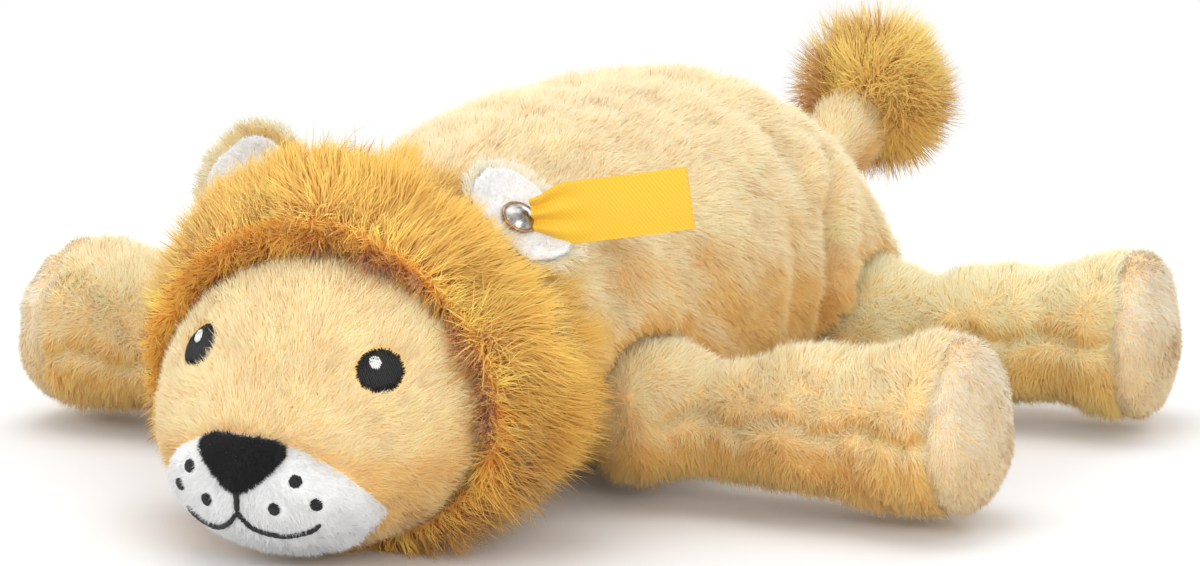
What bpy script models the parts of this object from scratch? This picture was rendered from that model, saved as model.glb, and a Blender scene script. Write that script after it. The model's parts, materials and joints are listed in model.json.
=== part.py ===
"""A plush lion that lies flat on its belly with its legs spread, built the way it is sewn.

Metres, +Z up. The nose points along -Y and the lion's left side is +X. The origin lies on
the floor, under the middle of the length and width. Each limb swells from a ball-shaped
root that sits in a hollow of the body, so that it can flop about the middle of that ball.
"""

import math

import bmesh
import bpy
from mathutils import Matrix, Vector
from mathutils.bvhtree import BVHTree

# Cloth, seams and clearances
SHORT_PILE = 0.0018
SEAM_GAP = 0.0003
SEAT_GAP = 0.0003
DRAPE_GAP = 0.0006
FLOOR_CUT = 0.0005
CUTTER_OVERRUN = 0.010
ROUND_POWERS = (2, 2)
SHARP_DEGREES = 50

# Torso
NECK_Y = -0.0565
NECK_HEIGHT = 0.0380
NECK_BALL_RADIUS = 0.0360
NECK_CLEARANCE = 0.0012
TORSO_LENGTH = 0.1420
TORSO_HALF_WIDTH = 0.0465
TORSO_HEIGHT = 0.0800
TORSO_COLUMNS = 16
TORSO_UPPER_POWER = 2.15
TORSO_LOWER_POWER = 2.25
SIDE_SEAM_DEGREES = -18
NECK_RING_DEGREES = (24, 50, 75)
# Length, half width, top and bottom of each section, as shares of the torso's sizes. The
# two narrow sections are the slack folds in front of the hip.
TORSO_SECTION_SHARES = (
    (0.12, 0.890, 0.985, 0.0),
    (0.30, 0.990, 1.000, 0.0),
    (0.50, 1.000, 0.975, 0.0),
    (0.56, 0.915, 0.950, 0.0),
    (0.62, 1.000, 0.940, 0.0),
    (0.69, 0.950, 0.905, 0.0),
    (0.75, 0.975, 0.865, 0.0),
    (0.83, 0.910, 0.780, 0.0),
    (0.90, 0.780, 0.680, 0.02),
    (0.96, 0.560, 0.570, 0.07),
    (0.99, 0.330, 0.460, 0.17),
)
RUMP_HEIGHT_SHARE = 0.32

# Head
HEAD_COLUMNS = 20
FACE_HALF_WIDTH = 0.0395
FACE_HEIGHT = 0.0630
FACE_DEPTH = 0.0350
FACE_EDGE_FROM_NECK = 0.0550
FACE_UPPER_POWER = 1.95
FACE_LOWER_POWER = 1.88
# Depth from the mane's edge to the snout, half width, top and bottom
FACE_SECTION_SHARES = (
    (0.20, 0.965, 0.935, 0.0),
    (0.38, 0.890, 0.845, 0.01),
    (0.55, 0.775, 0.730, 0.04),
    (0.71, 0.645, 0.630, 0.08),
    (0.85, 0.490, 0.545, 0.13),
    (0.95, 0.310, 0.450, 0.20),
)
SNOUT_HEIGHT_SHARE = 0.305
CROWN_HALF_WIDTH = 0.0400
CROWN_TOP = 0.0710
CROWN_BOTTOM = 0.0065
HEAD_BACK_FROM_NECK = 0.0265
# Distance from the head's back towards the mane's edge, and how far the crown has gone
# over into the face there
CROWN_SECTION_SHARES = ((0.0, 0.0), (0.333, 0.0), (0.667, 0.5))
CUP_RING_DEGREES = (36, 18)

# Muzzle, nose and eyes
MUZZLE_HALF_WIDTH = 0.0245
MUZZLE_TOP = 0.0285
MUZZLE_BOTTOM = -0.0010
MUZZLE_DEPTH = 0.0190
MUZZLE_PUFF = 0.0009
MUZZLE_POINTS = 20
NOSE_HALF_WIDTH = 0.0108
NOSE_HEIGHT = 0.0125
NOSE_TOP = 0.0310
NOSE_THICKNESS = 0.0012
# Half of the shield outline, from the middle of the top edge to the tip
NOSE_OUTLINE_SHARES = (
    (0.0, 0.02), (0.35, 0.0), (0.72, 0.03), (0.96, 0.14), (1.0, 0.30),
    (0.80, 0.52), (0.50, 0.76), (0.22, 0.94), (0.0, 1.0),
)
NOSE_MIDDLE_SHARE = 0.4
NOSE_RING_SHARES = (1.0, 0.62, 0.3)
EYE_RADIUS = 0.0047
EYE_THICKNESS = 0.0010
EYE_FROM_MIDDLE = 0.0213
EYE_HEIGHT = 0.0432
EYE_POINTS = 12
EYE_RING_SHARES = (1.0, 0.5)

# Mane: a thick ring of long pile sewn between the face and the neck
MANE_POWER = 1.75
MANE_LEAN = 0.0045
MANE_HALF_WIDTH = 0.0515
MANE_HEIGHT = 0.0850
MANE_DROOP = 0.0015
MANE_MIDDLE = 0.0370
MANE_LENGTH = 0.0340
MANE_LIP = 0.0035
# Length from the face seam backwards, and how far the pile has swelled out from the head
MANE_SWELL_SHARES = (
    (0.0, 0.32), (0.07, 0.60), (0.20, 0.92), (0.34, 1.0), (0.46, 0.82), (0.56, 0.46),
    (0.66, 0.18), (0.97, 0.10),
)

# Ears
EAR_HALF_WIDTH = 0.0140
EAR_HEIGHT = 0.0185
EAR_CUP = 0.0032
EAR_CURL = 0.0014
EAR_BACK_CLOTH = 0.0016
EAR_LINING_CLOTH = 0.0012
EAR_ROOT_CLOTH = 0.0007
EAR_SEAT_GAP = 0.0006
# How far round the mane each ear sits from level, how far back as a share of the mane's
# length, and which way it stands: the head is a little rolled, so the ears differ
LEFT_EAR_DEGREES = 46
RIGHT_EAR_DEGREES = 46
LEFT_EAR_SHARE = 0.60
RIGHT_EAR_SHARE = 0.76
LEFT_EAR_LEAN = Vector((0.05, 0.95, 0.31))
RIGHT_EAR_LEAN = Vector((0.60, 0.09, 0.80))
EAR_PLACES = {
    1: (LEFT_EAR_DEGREES, LEFT_EAR_SHARE, LEFT_EAR_LEAN),
    -1: (RIGHT_EAR_DEGREES, RIGHT_EAR_SHARE, RIGHT_EAR_LEAN),
}
EAR_ROWS_SHARES = (
    (0.0, 0.74), (0.20, 0.93), (0.45, 1.0), (0.70, 0.86), (0.88, 0.60), (0.98, 0.30),
)
EAR_COLUMN_SHARES = (-1.0, -0.55, 0.0, 0.55, 1.0)
LINING_SHARE = 0.88

# Button and ribbon in the left ear
BUTTON_RADIUS = 0.0040
BUTTON_DOME = 0.0016
BUTTON_RIM = 0.0006
# Radius and height of the dome above the rim
BUTTON_DOME_SHARES = ((0.80, 0.62), (0.40, 1.0))
BUTTON_SEAT_GAP = 0.0010
SHANK_RADIUS = 0.0013
SHANK_CLEARANCE = 0.0003
WASHER_RADIUS = 0.0032
WASHER_THICKNESS = 0.0007
BUTTON_FROM_ROOT = 0.0060
BUTTON_STEPS = 16
TAG_LENGTH = 0.0310
TAG_HALF_WIDTH = 0.0064
TAG_THICKNESS = 0.0008
TAG_BOW = 0.0012
TAG_DIRECTION = Vector((0.92, 0.38, 0.11))
TAG_ROWS_SHARES = (
    (0.0, 0.36), (0.10, 0.44), (0.20, 0.68), (0.32, 0.94), (0.45, 1.0), (0.75, 1.0),
    (1.0, 1.0),
)
TAG_COLUMN_SHARES = (-1.0, -0.4, 0.4, 1.0)

# Legs
LEG_COLUMNS = 12
BALL_COLUMNS = 16
LEG_BALL_RADIUS = 0.0163
LEG_BALL_HEIGHT = 0.0185
LEG_BALL_DEGREES = (-55, -28, 0, 26)
LEG_STAND_OFF = 0.0024
FRONT_LEG_FROM_NECK = 0.0130
FRONT_LEG_LENGTH = 0.0800
HIND_LEG_FROM_NECK = 0.1040
HIND_LEG_LENGTH = 0.0700
# Which way each leg lies, in degrees back from straight out: left, then right
FRONT_LEG_TURNS = (8.0, 1.0)
HIND_LEG_TURNS = (13.0, 13.0)
PAW_RADIUS = 0.0219
GATHER_RADIUS = 0.0026
SOLE_SEAM_SHARE = 0.885
# Distance from the ball's middle and radius, as shares of the length and the paw's radius
FRONT_LEG_SHARES = (
    (0.165, 0.570), (0.26, 0.680), (0.40, 0.790), (0.58, 0.825), (0.72, 0.950),
    (0.82, 1.0),
)
HIND_LEG_SHARES = (
    (0.20, 0.620), (0.30, 0.750), (0.44, 0.810), (0.60, 0.760), (0.74, 0.930),
    (0.83, 1.0),
)
SOLE_SHARES = ((0.885, 0.985), (0.945, 0.870), (0.985, 0.520))

# Tail
TAIL_COLUMNS = 12
TAIL_BALL_RADIUS = 0.0082
TAIL_ROOT_HEIGHT = 0.0300
TAIL_SINK = 0.0015
TAIL_LENGTH = 0.0430
TAIL_RADIUS = 0.0068
TAIL_RISE_DEGREES = 27
TAIL_SHARES = ((0.20, 0.90), (0.45, 0.97), (0.75, 1.0), (1.0, 0.94))
TAIL_BALL_DEGREES = (-50, -20, 10)
TUFT_RADIUS = 0.0188
TUFT_LENGTH = 0.0195
TUFT_OVERLAP = 0.0110
TUFT_RINGS = 8
TUFT_COLUMNS = 14

METAL_ROUGHNESS = 0.28
CLOTH_ROUGHNESS = 0.85
COLOURS = {
    "cream_plush": (0.86, 0.66, 0.38),
    "gold_plush": (0.72, 0.42, 0.13),
    "sole_plush": (0.88, 0.74, 0.54),
    "white_plush": (0.86, 0.87, 0.88),
    "black_plush": (0.012, 0.012, 0.013),
    "black_thread": (0.010, 0.010, 0.012),
    "stuffing": (0.90, 0.89, 0.86),
    "button_metal": (0.66, 0.65, 0.63),
    "yellow_ribbon": (0.95, 0.62, 0.05),
}


def clear_scene():
    for thing in list(bpy.data.objects):
        bpy.data.objects.remove(thing, do_unlink=True)


def make_collection(name):
    collection = bpy.data.collections.new(name)
    bpy.context.scene.collection.children.link(collection)
    return collection


def make_material(name):
    metal = name == "button_metal"
    material = bpy.data.materials.new(name)
    material.use_nodes = True
    shader = material.node_tree.nodes["Principled BSDF"]
    shader.inputs["Base Color"].default_value = (*COLOURS[name], 1.0)
    shader.inputs["Metallic"].default_value = 1.0 if metal else 0.0
    shader.inputs["Roughness"].default_value = METAL_ROUGHNESS if metal else CLOTH_ROUGHNESS
    return material


def place_empty(name, location, parent=None):
    empty = bpy.data.objects.new(name, None)
    PARTS.objects.link(empty)
    empty.parent = parent
    empty.location = location - (parent.matrix_world.translation if parent else Vector())
    bpy.context.view_layer.update()
    return empty


def add_solid(name, points, faces, material, parent=None, collection=None):
    """One closed body from world points, stored about its parent empty."""
    origin = parent.matrix_world.translation if parent else Vector()
    body = bmesh.new()
    corners = [body.verts.new(point - origin) for point in points]
    for face in faces:
        body.faces.new([corners[index] for index in face])
    bmesh.ops.recalc_face_normals(body, faces=body.faces[:])
    mesh = bpy.data.meshes.new(name)
    body.to_mesh(mesh)
    body.free()
    mesh.shade_smooth()
    mesh.set_sharp_from_angle(angle=math.radians(SHARP_DEGREES))
    solid = bpy.data.objects.new(name, mesh)
    (collection or PARTS).objects.link(solid)
    solid.parent = parent
    if material:
        mesh.materials.append(MATERIALS[material])
    return solid


def as_cutter(solid):
    solid.hide_render = True
    solid.display_type = "WIRE"
    return solid


def cut(solid, cutter, name):
    modifier = solid.modifiers.new(name, "BOOLEAN")
    modifier.operation = "DIFFERENCE"
    modifier.solver = "EXACT"
    modifier.object = cutter


def section_ring(angles, y, half_width, heights, powers):
    """A rounded section across the lion: its heights are the top, the widest and the bottom,
    and its powers say how square it is above and below the widest."""
    top, widest, bottom = heights
    upper, lower = powers
    ring = []
    for angle in angles:
        across, up = math.cos(angle), math.sin(angle)
        power, reach = (upper, top - widest) if up >= 0 else (lower, widest - bottom)
        x = half_width * math.copysign(abs(across) ** (2 / power), across)
        z = widest + reach * math.copysign(abs(up) ** (2 / power), up)
        ring.append(Vector((x, y, z)))
    return ring


def strip_faces(first, second, count, closed):
    """Quads between two rows of points that start at the indices first and second."""
    last = count if closed else count - 1
    return [
        (first + i, first + (i + 1) % count, second + (i + 1) % count, second + i)
        for i in range(last)
    ]


def fan_faces(start, count, tip):
    return [(start + i, start + (i + 1) % count, tip) for i in range(count)]


def loft(rows, first_tip=None, last_tip=None):
    """Points and faces of a body through closed rows, ending in tips or in flat caps."""
    count = len(rows[0])
    points = [point for row in rows for point in row]
    faces = []
    for index in range(len(rows) - 1):
        faces += strip_faces(index * count, (index + 1) * count, count, True)
    for tip, start in ((first_tip, 0), (last_tip, (len(rows) - 1) * count)):
        if tip is None:
            faces.append(tuple(range(start, start + count)))
        else:
            points.append(tip)
            faces += fan_faces(start, count, len(points) - 1)
    return points, faces


def ring_loft(rows):
    """Points and faces of a ring-shaped body, whose last row joins on to its first."""
    count = len(rows[0])
    points = [point for row in rows for point in row]
    faces = []
    for index in range(len(rows)):
        after = (index + 1) % len(rows)
        faces += strip_faces(index * count, after * count, count, True)
    return points, faces


def sheet(outer, inner, closed):
    """Points and faces of a cloth that fills the space between two grids of rows."""
    count = len(outer[0])
    points = [point for row in outer + inner for point in row]
    second = len(outer) * count
    faces = []
    for index in range(len(outer) - 1):
        here, there = index * count, (index + 1) * count
        faces += strip_faces(here, there, count, closed)
        faces += strip_faces(second + here, second + there, count, closed)
    for start in (0, (len(outer) - 1) * count):
        faces += strip_faces(start, second + start, count, closed)
    if not closed:
        for column in (0, count - 1):
            for index in range(len(outer) - 1):
                here = index * count + column
                there = here + count
                faces.append((here, there, second + there, second + here))
    return points, faces


def capped_sheet(outer, inner, outer_tip, inner_tip):
    """A closed sheet whose last rows run on to a tip on each side, as a dome does."""
    points, faces = sheet(outer, inner, True)
    count = len(outer[0])
    outer_start = (len(outer) - 1) * count
    inner_start = (2 * len(outer) - 1) * count
    rim = {frozenset(face) for face in strip_faces(outer_start, inner_start, count, True)}
    kept = [face for face in faces if frozenset(face) not in rim]
    points = points + [outer_tip, inner_tip]
    kept += fan_faces(outer_start, count, len(points) - 2)
    kept += fan_faces(inner_start, count, len(points) - 1)
    return points, kept


def row_normals(rows):
    """The outward normal at each point of closed rows, from its neighbours."""
    normals = []
    count = len(rows[0])
    for index, row in enumerate(rows):
        before = rows[max(index - 1, 0)]
        after = rows[min(index + 1, len(rows) - 1)]
        middle = sum(row, Vector()) / count
        line = []
        for i, point in enumerate(row):
            along = after[i] - before[i]
            around = row[(i + 1) % count] - row[i - 1]
            normal = along.cross(around).normalized()
            # At the ends of a closed form a normal may lean along the form, never inwards
            if normal.dot(point - middle) < 0:
                normal.negate()
            line.append(normal)
        normals.append(line)
    return normals


def shrunk(rows, depth):
    """Rows moved inwards by a depth, square to the surface."""
    normals = row_normals(rows)
    return [
        [point - normal * depth for point, normal in zip(row, line)]
        for row, line in zip(rows, normals)
    ]


def squared(row, inner):
    """The inner edge of a cloth brought into the plane of its outer edge, as it is cut."""
    middle = sum(row, Vector()) / len(row)
    square = (row[0] - middle).cross(row[len(row) // 4] - middle).normalized()
    return [point - square * (point - middle).dot(square) for point in inner]


def interpolate(table, at):
    """The values of a table of rows at a place between two of them."""
    if at <= table[0][0]:
        return table[0][1:]
    for low, high in zip(table, table[1:]):
        if at <= high[0]:
            share = (at - low[0]) / (high[0] - low[0])
            return tuple(a + (b - a) * share for a, b in zip(low[1:], high[1:]))
    return table[-1][1:]


def sphere_cutter(name, centre, radius):
    """A ball whose flats lie outside the radius, so that a round piece turns in it."""
    flats = math.cos(math.pi / BALL_COLUMNS) ** 2
    body = bmesh.new()
    bmesh.ops.create_uvsphere(body, u_segments=BALL_COLUMNS, v_segments=BALL_COLUMNS // 2,
                              radius=radius / flats)
    bmesh.ops.translate(body, verts=body.verts[:], vec=centre)
    mesh = bpy.data.meshes.new(name)
    body.to_mesh(mesh)
    body.free()
    solid = bpy.data.objects.new(name, mesh)
    CUTTERS.objects.link(solid)
    return as_cutter(solid)


def floor_cutter():
    """A slab under the floor, longer and wider than the lion."""
    half = TORSO_LENGTH + FRONT_LEG_LENGTH + TORSO_HALF_WIDTH + CUTTER_OVERRUN
    body = bmesh.new()
    bmesh.ops.create_cube(body, size=2 * half)
    bmesh.ops.translate(body, verts=body.verts[:], vec=Vector((0, 0, -half)))
    mesh = bpy.data.meshes.new("floor_cutter")
    body.to_mesh(mesh)
    body.free()
    solid = bpy.data.objects.new("floor_cutter", mesh)
    CUTTERS.objects.link(solid)
    return as_cutter(solid)


# Torso


def torso_table():
    """(distance behind the neck, half width, top, bottom) of the torso's sections."""
    table = [(0.0, NECK_BALL_RADIUS, NECK_HEIGHT + NECK_BALL_RADIUS,
              NECK_HEIGHT - NECK_BALL_RADIUS)]
    for length, width, top, bottom in TORSO_SECTION_SHARES:
        lowest = bottom * TORSO_HEIGHT if bottom else -FLOOR_CUT
        table.append((length * TORSO_LENGTH, width * TORSO_HALF_WIDTH,
                      top * TORSO_HEIGHT, lowest))
    return table


def torso_rows(angles):
    """Rows of the torso from inside the neck to the rump."""
    rows = []
    for degrees in reversed(NECK_RING_DEGREES):
        reach = NECK_BALL_RADIUS * math.cos(math.radians(degrees))
        y = NECK_Y - NECK_BALL_RADIUS * math.sin(math.radians(degrees))
        heights = (NECK_HEIGHT + reach, NECK_HEIGHT, NECK_HEIGHT - reach)
        rows.append(section_ring(angles, y, reach, heights, ROUND_POWERS))
    for length, half_width, top, bottom in torso_table():
        powers = (TORSO_UPPER_POWER, TORSO_LOWER_POWER) if length else ROUND_POWERS
        heights = (top, (top + bottom) / 2, bottom)
        rows.append(section_ring(angles, NECK_Y + length, half_width, heights, powers))
    return rows


def torso_side_x(y, z):
    """How far the torso's side lies from the middle, at a place along it and a height."""
    half_width, top, bottom = interpolate(torso_table(), y - NECK_Y)
    middle = (top + bottom) / 2
    half_height = (top - bottom) / 2
    power = TORSO_UPPER_POWER if z > middle else TORSO_LOWER_POWER
    up = min(abs(z - middle) / half_height, 1)
    return half_width * (1 - up ** power) ** (1 / power)


def seam_angles(start, end, steps):
    """Angles from one seam to the next, ending half a seam's gap short of both."""
    gap = SEAM_GAP / 2 / TORSO_HALF_WIDTH
    inner = [start + (end - start) * i / steps for i in range(1, steps)]
    return [start + gap] + inner + [end - gap]


def build_torso(cutters):
    side = math.radians(SIDE_SEAM_DEGREES)
    top = math.pi / 2
    back_steps = round(TORSO_COLUMNS * (top - side) / (2 * math.pi))
    belly_steps = TORSO_COLUMNS - 2 * back_steps
    spans = {
        "back_panel_left": (side, top, back_steps),
        "back_panel_right": (top, math.pi - side, back_steps),
        "belly_panel": (math.pi - side, 2 * math.pi + side, belly_steps),
    }
    full = [start + (end - start) * i / steps
            for start, end, steps in spans.values() for i in range(steps)]
    whole = torso_rows(full)
    normals = row_normals(whole)
    for index, (name, (start, end, steps)) in enumerate(spans.items()):
        columns = seam_angles(start, end, steps)
        first = sum(span[2] for span in list(spans.values())[:index])
        outer = torso_rows(columns)
        inner = []
        for row, line in zip(outer, normals):
            around = [line[(first + i) % len(line)] for i in range(steps + 1)]
            inner.append([point - normal * SHORT_PILE
                          for point, normal in zip(row, around)])
        panel = add_solid(name, *sheet(outer, inner, False), "cream_plush")
        for cutter in cutters:
            cut(panel, cutter, cutter.name)
    inside = shrunk(whole, SHORT_PILE + SEAM_GAP)
    depth = Vector((0, SHORT_PILE + SEAM_GAP, 0))
    neck_tip = Vector((0, NECK_Y - NECK_BALL_RADIUS, NECK_HEIGHT)) + depth
    rump_tip = Vector((0, NECK_Y + TORSO_LENGTH, RUMP_HEIGHT_SHARE * TORSO_HEIGHT)) - depth
    filling = add_solid("torso_stuffing", *loft(inside, neck_tip, rump_tip), "stuffing")
    for cutter in cutters:
        cut(filling, cutter, cutter.name)


# Legs and tail


def limb_ring(origin, along, distance, radius, angles):
    """A round section of a limb, square to its direction."""
    side = along.cross(Vector((0, 0, 1))).normalized()
    up = side.cross(along).normalized()
    middle = origin + along * distance
    return [middle + side * (radius * math.cos(angle)) + up * (radius * math.sin(angle))
            for angle in angles]


def limb_rows(origin, along, angles, ball_radius, ball_degrees, sections):
    """Rows of a limb from its ball-shaped root outwards."""
    rows = []
    gather = -math.acos(GATHER_RADIUS / ball_radius)
    for turn in [gather] + [math.radians(degrees) for degrees in ball_degrees]:
        rows.append(limb_ring(origin, along, ball_radius * math.sin(turn),
                              ball_radius * math.cos(turn), angles))
    for distance, radius in sections:
        rows.append(limb_ring(origin, along, distance, radius, angles))
    return rows


def half_angles(start, radius):
    """Angles over half of a limb, from seam to seam, with half the seam's gap at each."""
    gap = SEAM_GAP / 2 / radius
    steps = LEG_COLUMNS // 2
    inner = [start + math.pi * i / steps for i in range(1, steps)]
    return [start + gap] + inner + [start + math.pi - gap]


def leg_place(side, from_neck, length, turn):
    """The middle of a leg's ball and the direction in which the leg lies."""
    y = NECK_Y + from_neck
    x = torso_side_x(y, LEG_BALL_HEIGHT) + LEG_STAND_OFF
    drop = (PAW_RADIUS - FLOOR_CUT) - LEG_BALL_HEIGHT
    level = math.sqrt(length ** 2 - drop ** 2)
    yaw = math.radians(turn)
    along = Vector((side * level * math.cos(yaw), level * math.sin(yaw), drop))
    return Vector((side * x, y, LEG_BALL_HEIGHT)), along.normalized()


def build_leg(name, side, from_neck, length, turn, shares, floor):
    origin, along = leg_place(side, from_neck, length, turn)
    joint = place_empty(name + "_joint", origin)
    seam = SOLE_SEAM_SHARE * length
    seam_radius = SOLE_SHARES[0][1] * PAW_RADIUS
    shaft = [(share * length, radius * PAW_RADIUS) for share, radius in shares]
    shaft.append((seam - SEAM_GAP / 2, seam_radius))
    full = [2 * math.pi * i / LEG_COLUMNS for i in range(LEG_COLUMNS)]
    whole = limb_rows(origin, along, full, LEG_BALL_RADIUS, LEG_BALL_DEGREES, shaft)
    normals = row_normals(whole)
    half = LEG_COLUMNS // 2
    for part, first in (("_upper_panel", 0), ("_lower_panel", half)):
        columns = half_angles(full[first], LEG_BALL_RADIUS)
        outer = limb_rows(origin, along, columns, LEG_BALL_RADIUS, LEG_BALL_DEGREES, shaft)
        inner = []
        for row, line in zip(outer, normals):
            around = [line[(first + i) % LEG_COLUMNS] for i in range(half + 1)]
            inner.append([point - normal * SHORT_PILE
                          for point, normal in zip(row, around)])
        inner[-1] = squared(outer[-1], inner[-1])
        panel = add_solid(name + part, *sheet(outer, inner, False), "cream_plush", joint)
        cut(panel, floor, "flat_rest")
    sole = [(share * length, radius * PAW_RADIUS) for share, radius in SOLE_SHARES]
    sole[0] = (seam + SEAM_GAP / 2, seam_radius)
    dome = [limb_ring(origin, along, distance, radius, full) for distance, radius in sole]
    lining = shrunk(whole[-1:] + dome, SHORT_PILE)[1:]
    lining[0] = squared(dome[0], lining[0])
    tip = origin + along * length
    sole_sheet = capped_sheet(dome, lining, tip, tip - along * SHORT_PILE)
    pad = add_solid(name + "_sole", *sole_sheet, "sole_plush", joint)
    cut(pad, floor, "flat_rest")
    depth = SHORT_PILE + SEAM_GAP
    inside = shrunk(whole + dome, depth)
    root_tip = origin - along * (LEG_BALL_RADIUS - depth)
    filling = loft(inside, root_tip, tip - along * depth)
    add_solid(name + "_stuffing", *filling, "stuffing", joint)


def tail_place():
    y = NECK_Y + TORSO_LENGTH - TAIL_SINK
    rise = math.radians(TAIL_RISE_DEGREES)
    return Vector((0, y, TAIL_ROOT_HEIGHT)), Vector((0, math.cos(rise), math.sin(rise)))


def build_tail():
    origin, along = tail_place()
    joint = place_empty("tail_joint", origin)
    angles = [2 * math.pi * i / TAIL_COLUMNS for i in range(TAIL_COLUMNS)]
    shaft = [(share * TAIL_LENGTH, radius * TAIL_RADIUS) for share, radius in TAIL_SHARES]
    outer = limb_rows(origin, along, angles, TAIL_BALL_RADIUS, TAIL_BALL_DEGREES, shaft)
    inner = shrunk(outer, SHORT_PILE)
    add_solid("tail_skin", *sheet(outer, inner, True), "cream_plush", joint)
    depth = SHORT_PILE + SEAM_GAP
    inside = shrunk(outer, depth)
    root_tip = origin - along * (TAIL_BALL_RADIUS - depth)
    add_solid("tail_stuffing", *loft(inside, root_tip), "stuffing", joint)
    middle = origin + along * (TAIL_LENGTH - TUFT_OVERLAP + TUFT_LENGTH)
    columns = [2 * math.pi * i / TUFT_COLUMNS for i in range(TUFT_COLUMNS)]
    rows = []
    for index in range(1, TUFT_RINGS):
        turn = math.pi * index / TUFT_RINGS
        rows.append(limb_ring(middle, along, -TUFT_LENGTH * math.cos(turn),
                              TUFT_RADIUS * math.sin(turn), columns))
    ends = (middle - along * TUFT_LENGTH, middle + along * TUFT_LENGTH)
    tuft = add_solid("tail_tuft", *loft(rows, *ends), "gold_plush", joint)
    socket = [limb_ring(origin, along, 0.0, TAIL_RADIUS + SEAT_GAP, angles),
              limb_ring(origin, along, TAIL_LENGTH + SEAT_GAP,
                        TAIL_RADIUS + SEAT_GAP, angles)]
    cutter = add_solid("tuft_socket_cutter", *loft(socket), None, None, CUTTERS)
    cut(tuft, as_cutter(cutter), "tail_socket")


# Head


def face_edge_y():
    return NECK_Y - FACE_EDGE_FROM_NECK


def head_table():
    """(distance in front of the neck, half width, top, bottom), from back to snout."""
    edge = FACE_EDGE_FROM_NECK
    back = HEAD_BACK_FROM_NECK
    table = []
    for depth, over in CROWN_SECTION_SHARES:
        table.append((back + (edge - back) * depth,
                      CROWN_HALF_WIDTH + (FACE_HALF_WIDTH - CROWN_HALF_WIDTH) * over,
                      CROWN_TOP + (FACE_HEIGHT - CROWN_TOP) * over,
                      CROWN_BOTTOM * (1 - over)))
    table.append((edge, FACE_HALF_WIDTH, FACE_HEIGHT, -FLOOR_CUT))
    for depth, width, top, bottom in FACE_SECTION_SHARES:
        lowest = bottom * FACE_HEIGHT if bottom else -FLOOR_CUT
        table.append((edge + depth * FACE_DEPTH, width * FACE_HALF_WIDTH,
                      top * FACE_HEIGHT, lowest))
    return table


def head_rows(angles, first, last=None):
    rows = []
    for distance, half_width, top, bottom in head_table()[first:last]:
        heights = (top, (top + bottom) / 2, bottom)
        rows.append(section_ring(angles, NECK_Y - distance, half_width, heights,
                                 (FACE_UPPER_POWER, FACE_LOWER_POWER)))
    return rows


def snout_tip():
    y = face_edge_y() - FACE_DEPTH
    return Vector((0, y, SNOUT_HEIGHT_SHARE * FACE_HEIGHT))


def muzzle_prism(name, grow):
    """The muzzle's outline seen from the front, drawn out backwards from the snout."""
    middle = (MUZZLE_TOP + MUZZLE_BOTTOM) / 2
    half_height = (MUZZLE_TOP - MUZZLE_BOTTOM) / 2
    front = face_edge_y() - FACE_DEPTH - CUTTER_OVERRUN
    back = face_edge_y() - FACE_DEPTH + MUZZLE_DEPTH + grow
    rows = []
    for y in (front, back):
        row = []
        for index in range(MUZZLE_POINTS):
            turn = 2 * math.pi * (index + 0.5) / MUZZLE_POINTS
            row.append(Vector(((MUZZLE_HALF_WIDTH + grow) * math.cos(turn), y,
                               middle + (half_height + grow) * math.sin(turn))))
        rows.append(row)
    return as_cutter(add_solid(name, *loft(rows), None, None, CUTTERS))


def draped_piece(name, tree, rings, middle, direction, thickness, material, parent):
    """A cloth piece whose rings of points are dropped on a surface along a direction."""
    layers = []
    for lift in (DRAPE_GAP, DRAPE_GAP + thickness):
        layer = []
        for ring in rings + [[middle]]:
            layer.append([tree.ray_cast(p, direction)[0] - direction * lift for p in ring])
        layers.append(layer)
    points, faces = capped_sheet(layers[1][:-1], layers[0][:-1], layers[1][-1][0],
                                 layers[0][-1][0])
    return add_solid(name, points, faces, material, parent)


def scaled_rings(outline, middle, shares):
    return [[middle + (point - middle) * share for point in outline] for share in shares]


def build_nose(tree, head):
    front = face_edge_y() - FACE_DEPTH - CUTTER_OVERRUN
    half = [(x * NOSE_HALF_WIDTH, NOSE_TOP - z * NOSE_HEIGHT)
            for x, z in NOSE_OUTLINE_SHARES]
    mirrored = [(-x, z) for x, z in half[-2:0:-1]]
    outline = [Vector((x, front, z)) for x, z in half + mirrored]
    middle = Vector((0, front, NOSE_TOP - NOSE_HEIGHT * NOSE_MIDDLE_SHARE))
    rings = scaled_rings(outline, middle, NOSE_RING_SHARES)
    draped_piece("nose", tree, rings, middle, Vector((0, 1, 0)), NOSE_THICKNESS,
                 "black_plush", head)


def build_eye(name, side, tree, head):
    front = face_edge_y() - FACE_DEPTH - CUTTER_OVERRUN
    start = Vector((side * EYE_FROM_MIDDLE, front, EYE_HEIGHT))
    hit, normal, _, _ = tree.ray_cast(start, Vector((0, 1, 0)))
    direction = -normal
    across = direction.cross(Vector((0, 0, 1))).normalized()
    up = across.cross(direction)
    middle = hit + normal * CUTTER_OVERRUN
    outline = []
    for index in range(EYE_POINTS):
        turn = 2 * math.pi * index / EYE_POINTS
        outline.append(middle + across * (EYE_RADIUS * math.cos(turn))
                       + up * (EYE_RADIUS * math.sin(turn)))
    rings = scaled_rings(outline, middle, EYE_RING_SHARES)
    draped_piece(name, tree, rings, middle, direction, EYE_THICKNESS, "black_thread", head)


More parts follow.
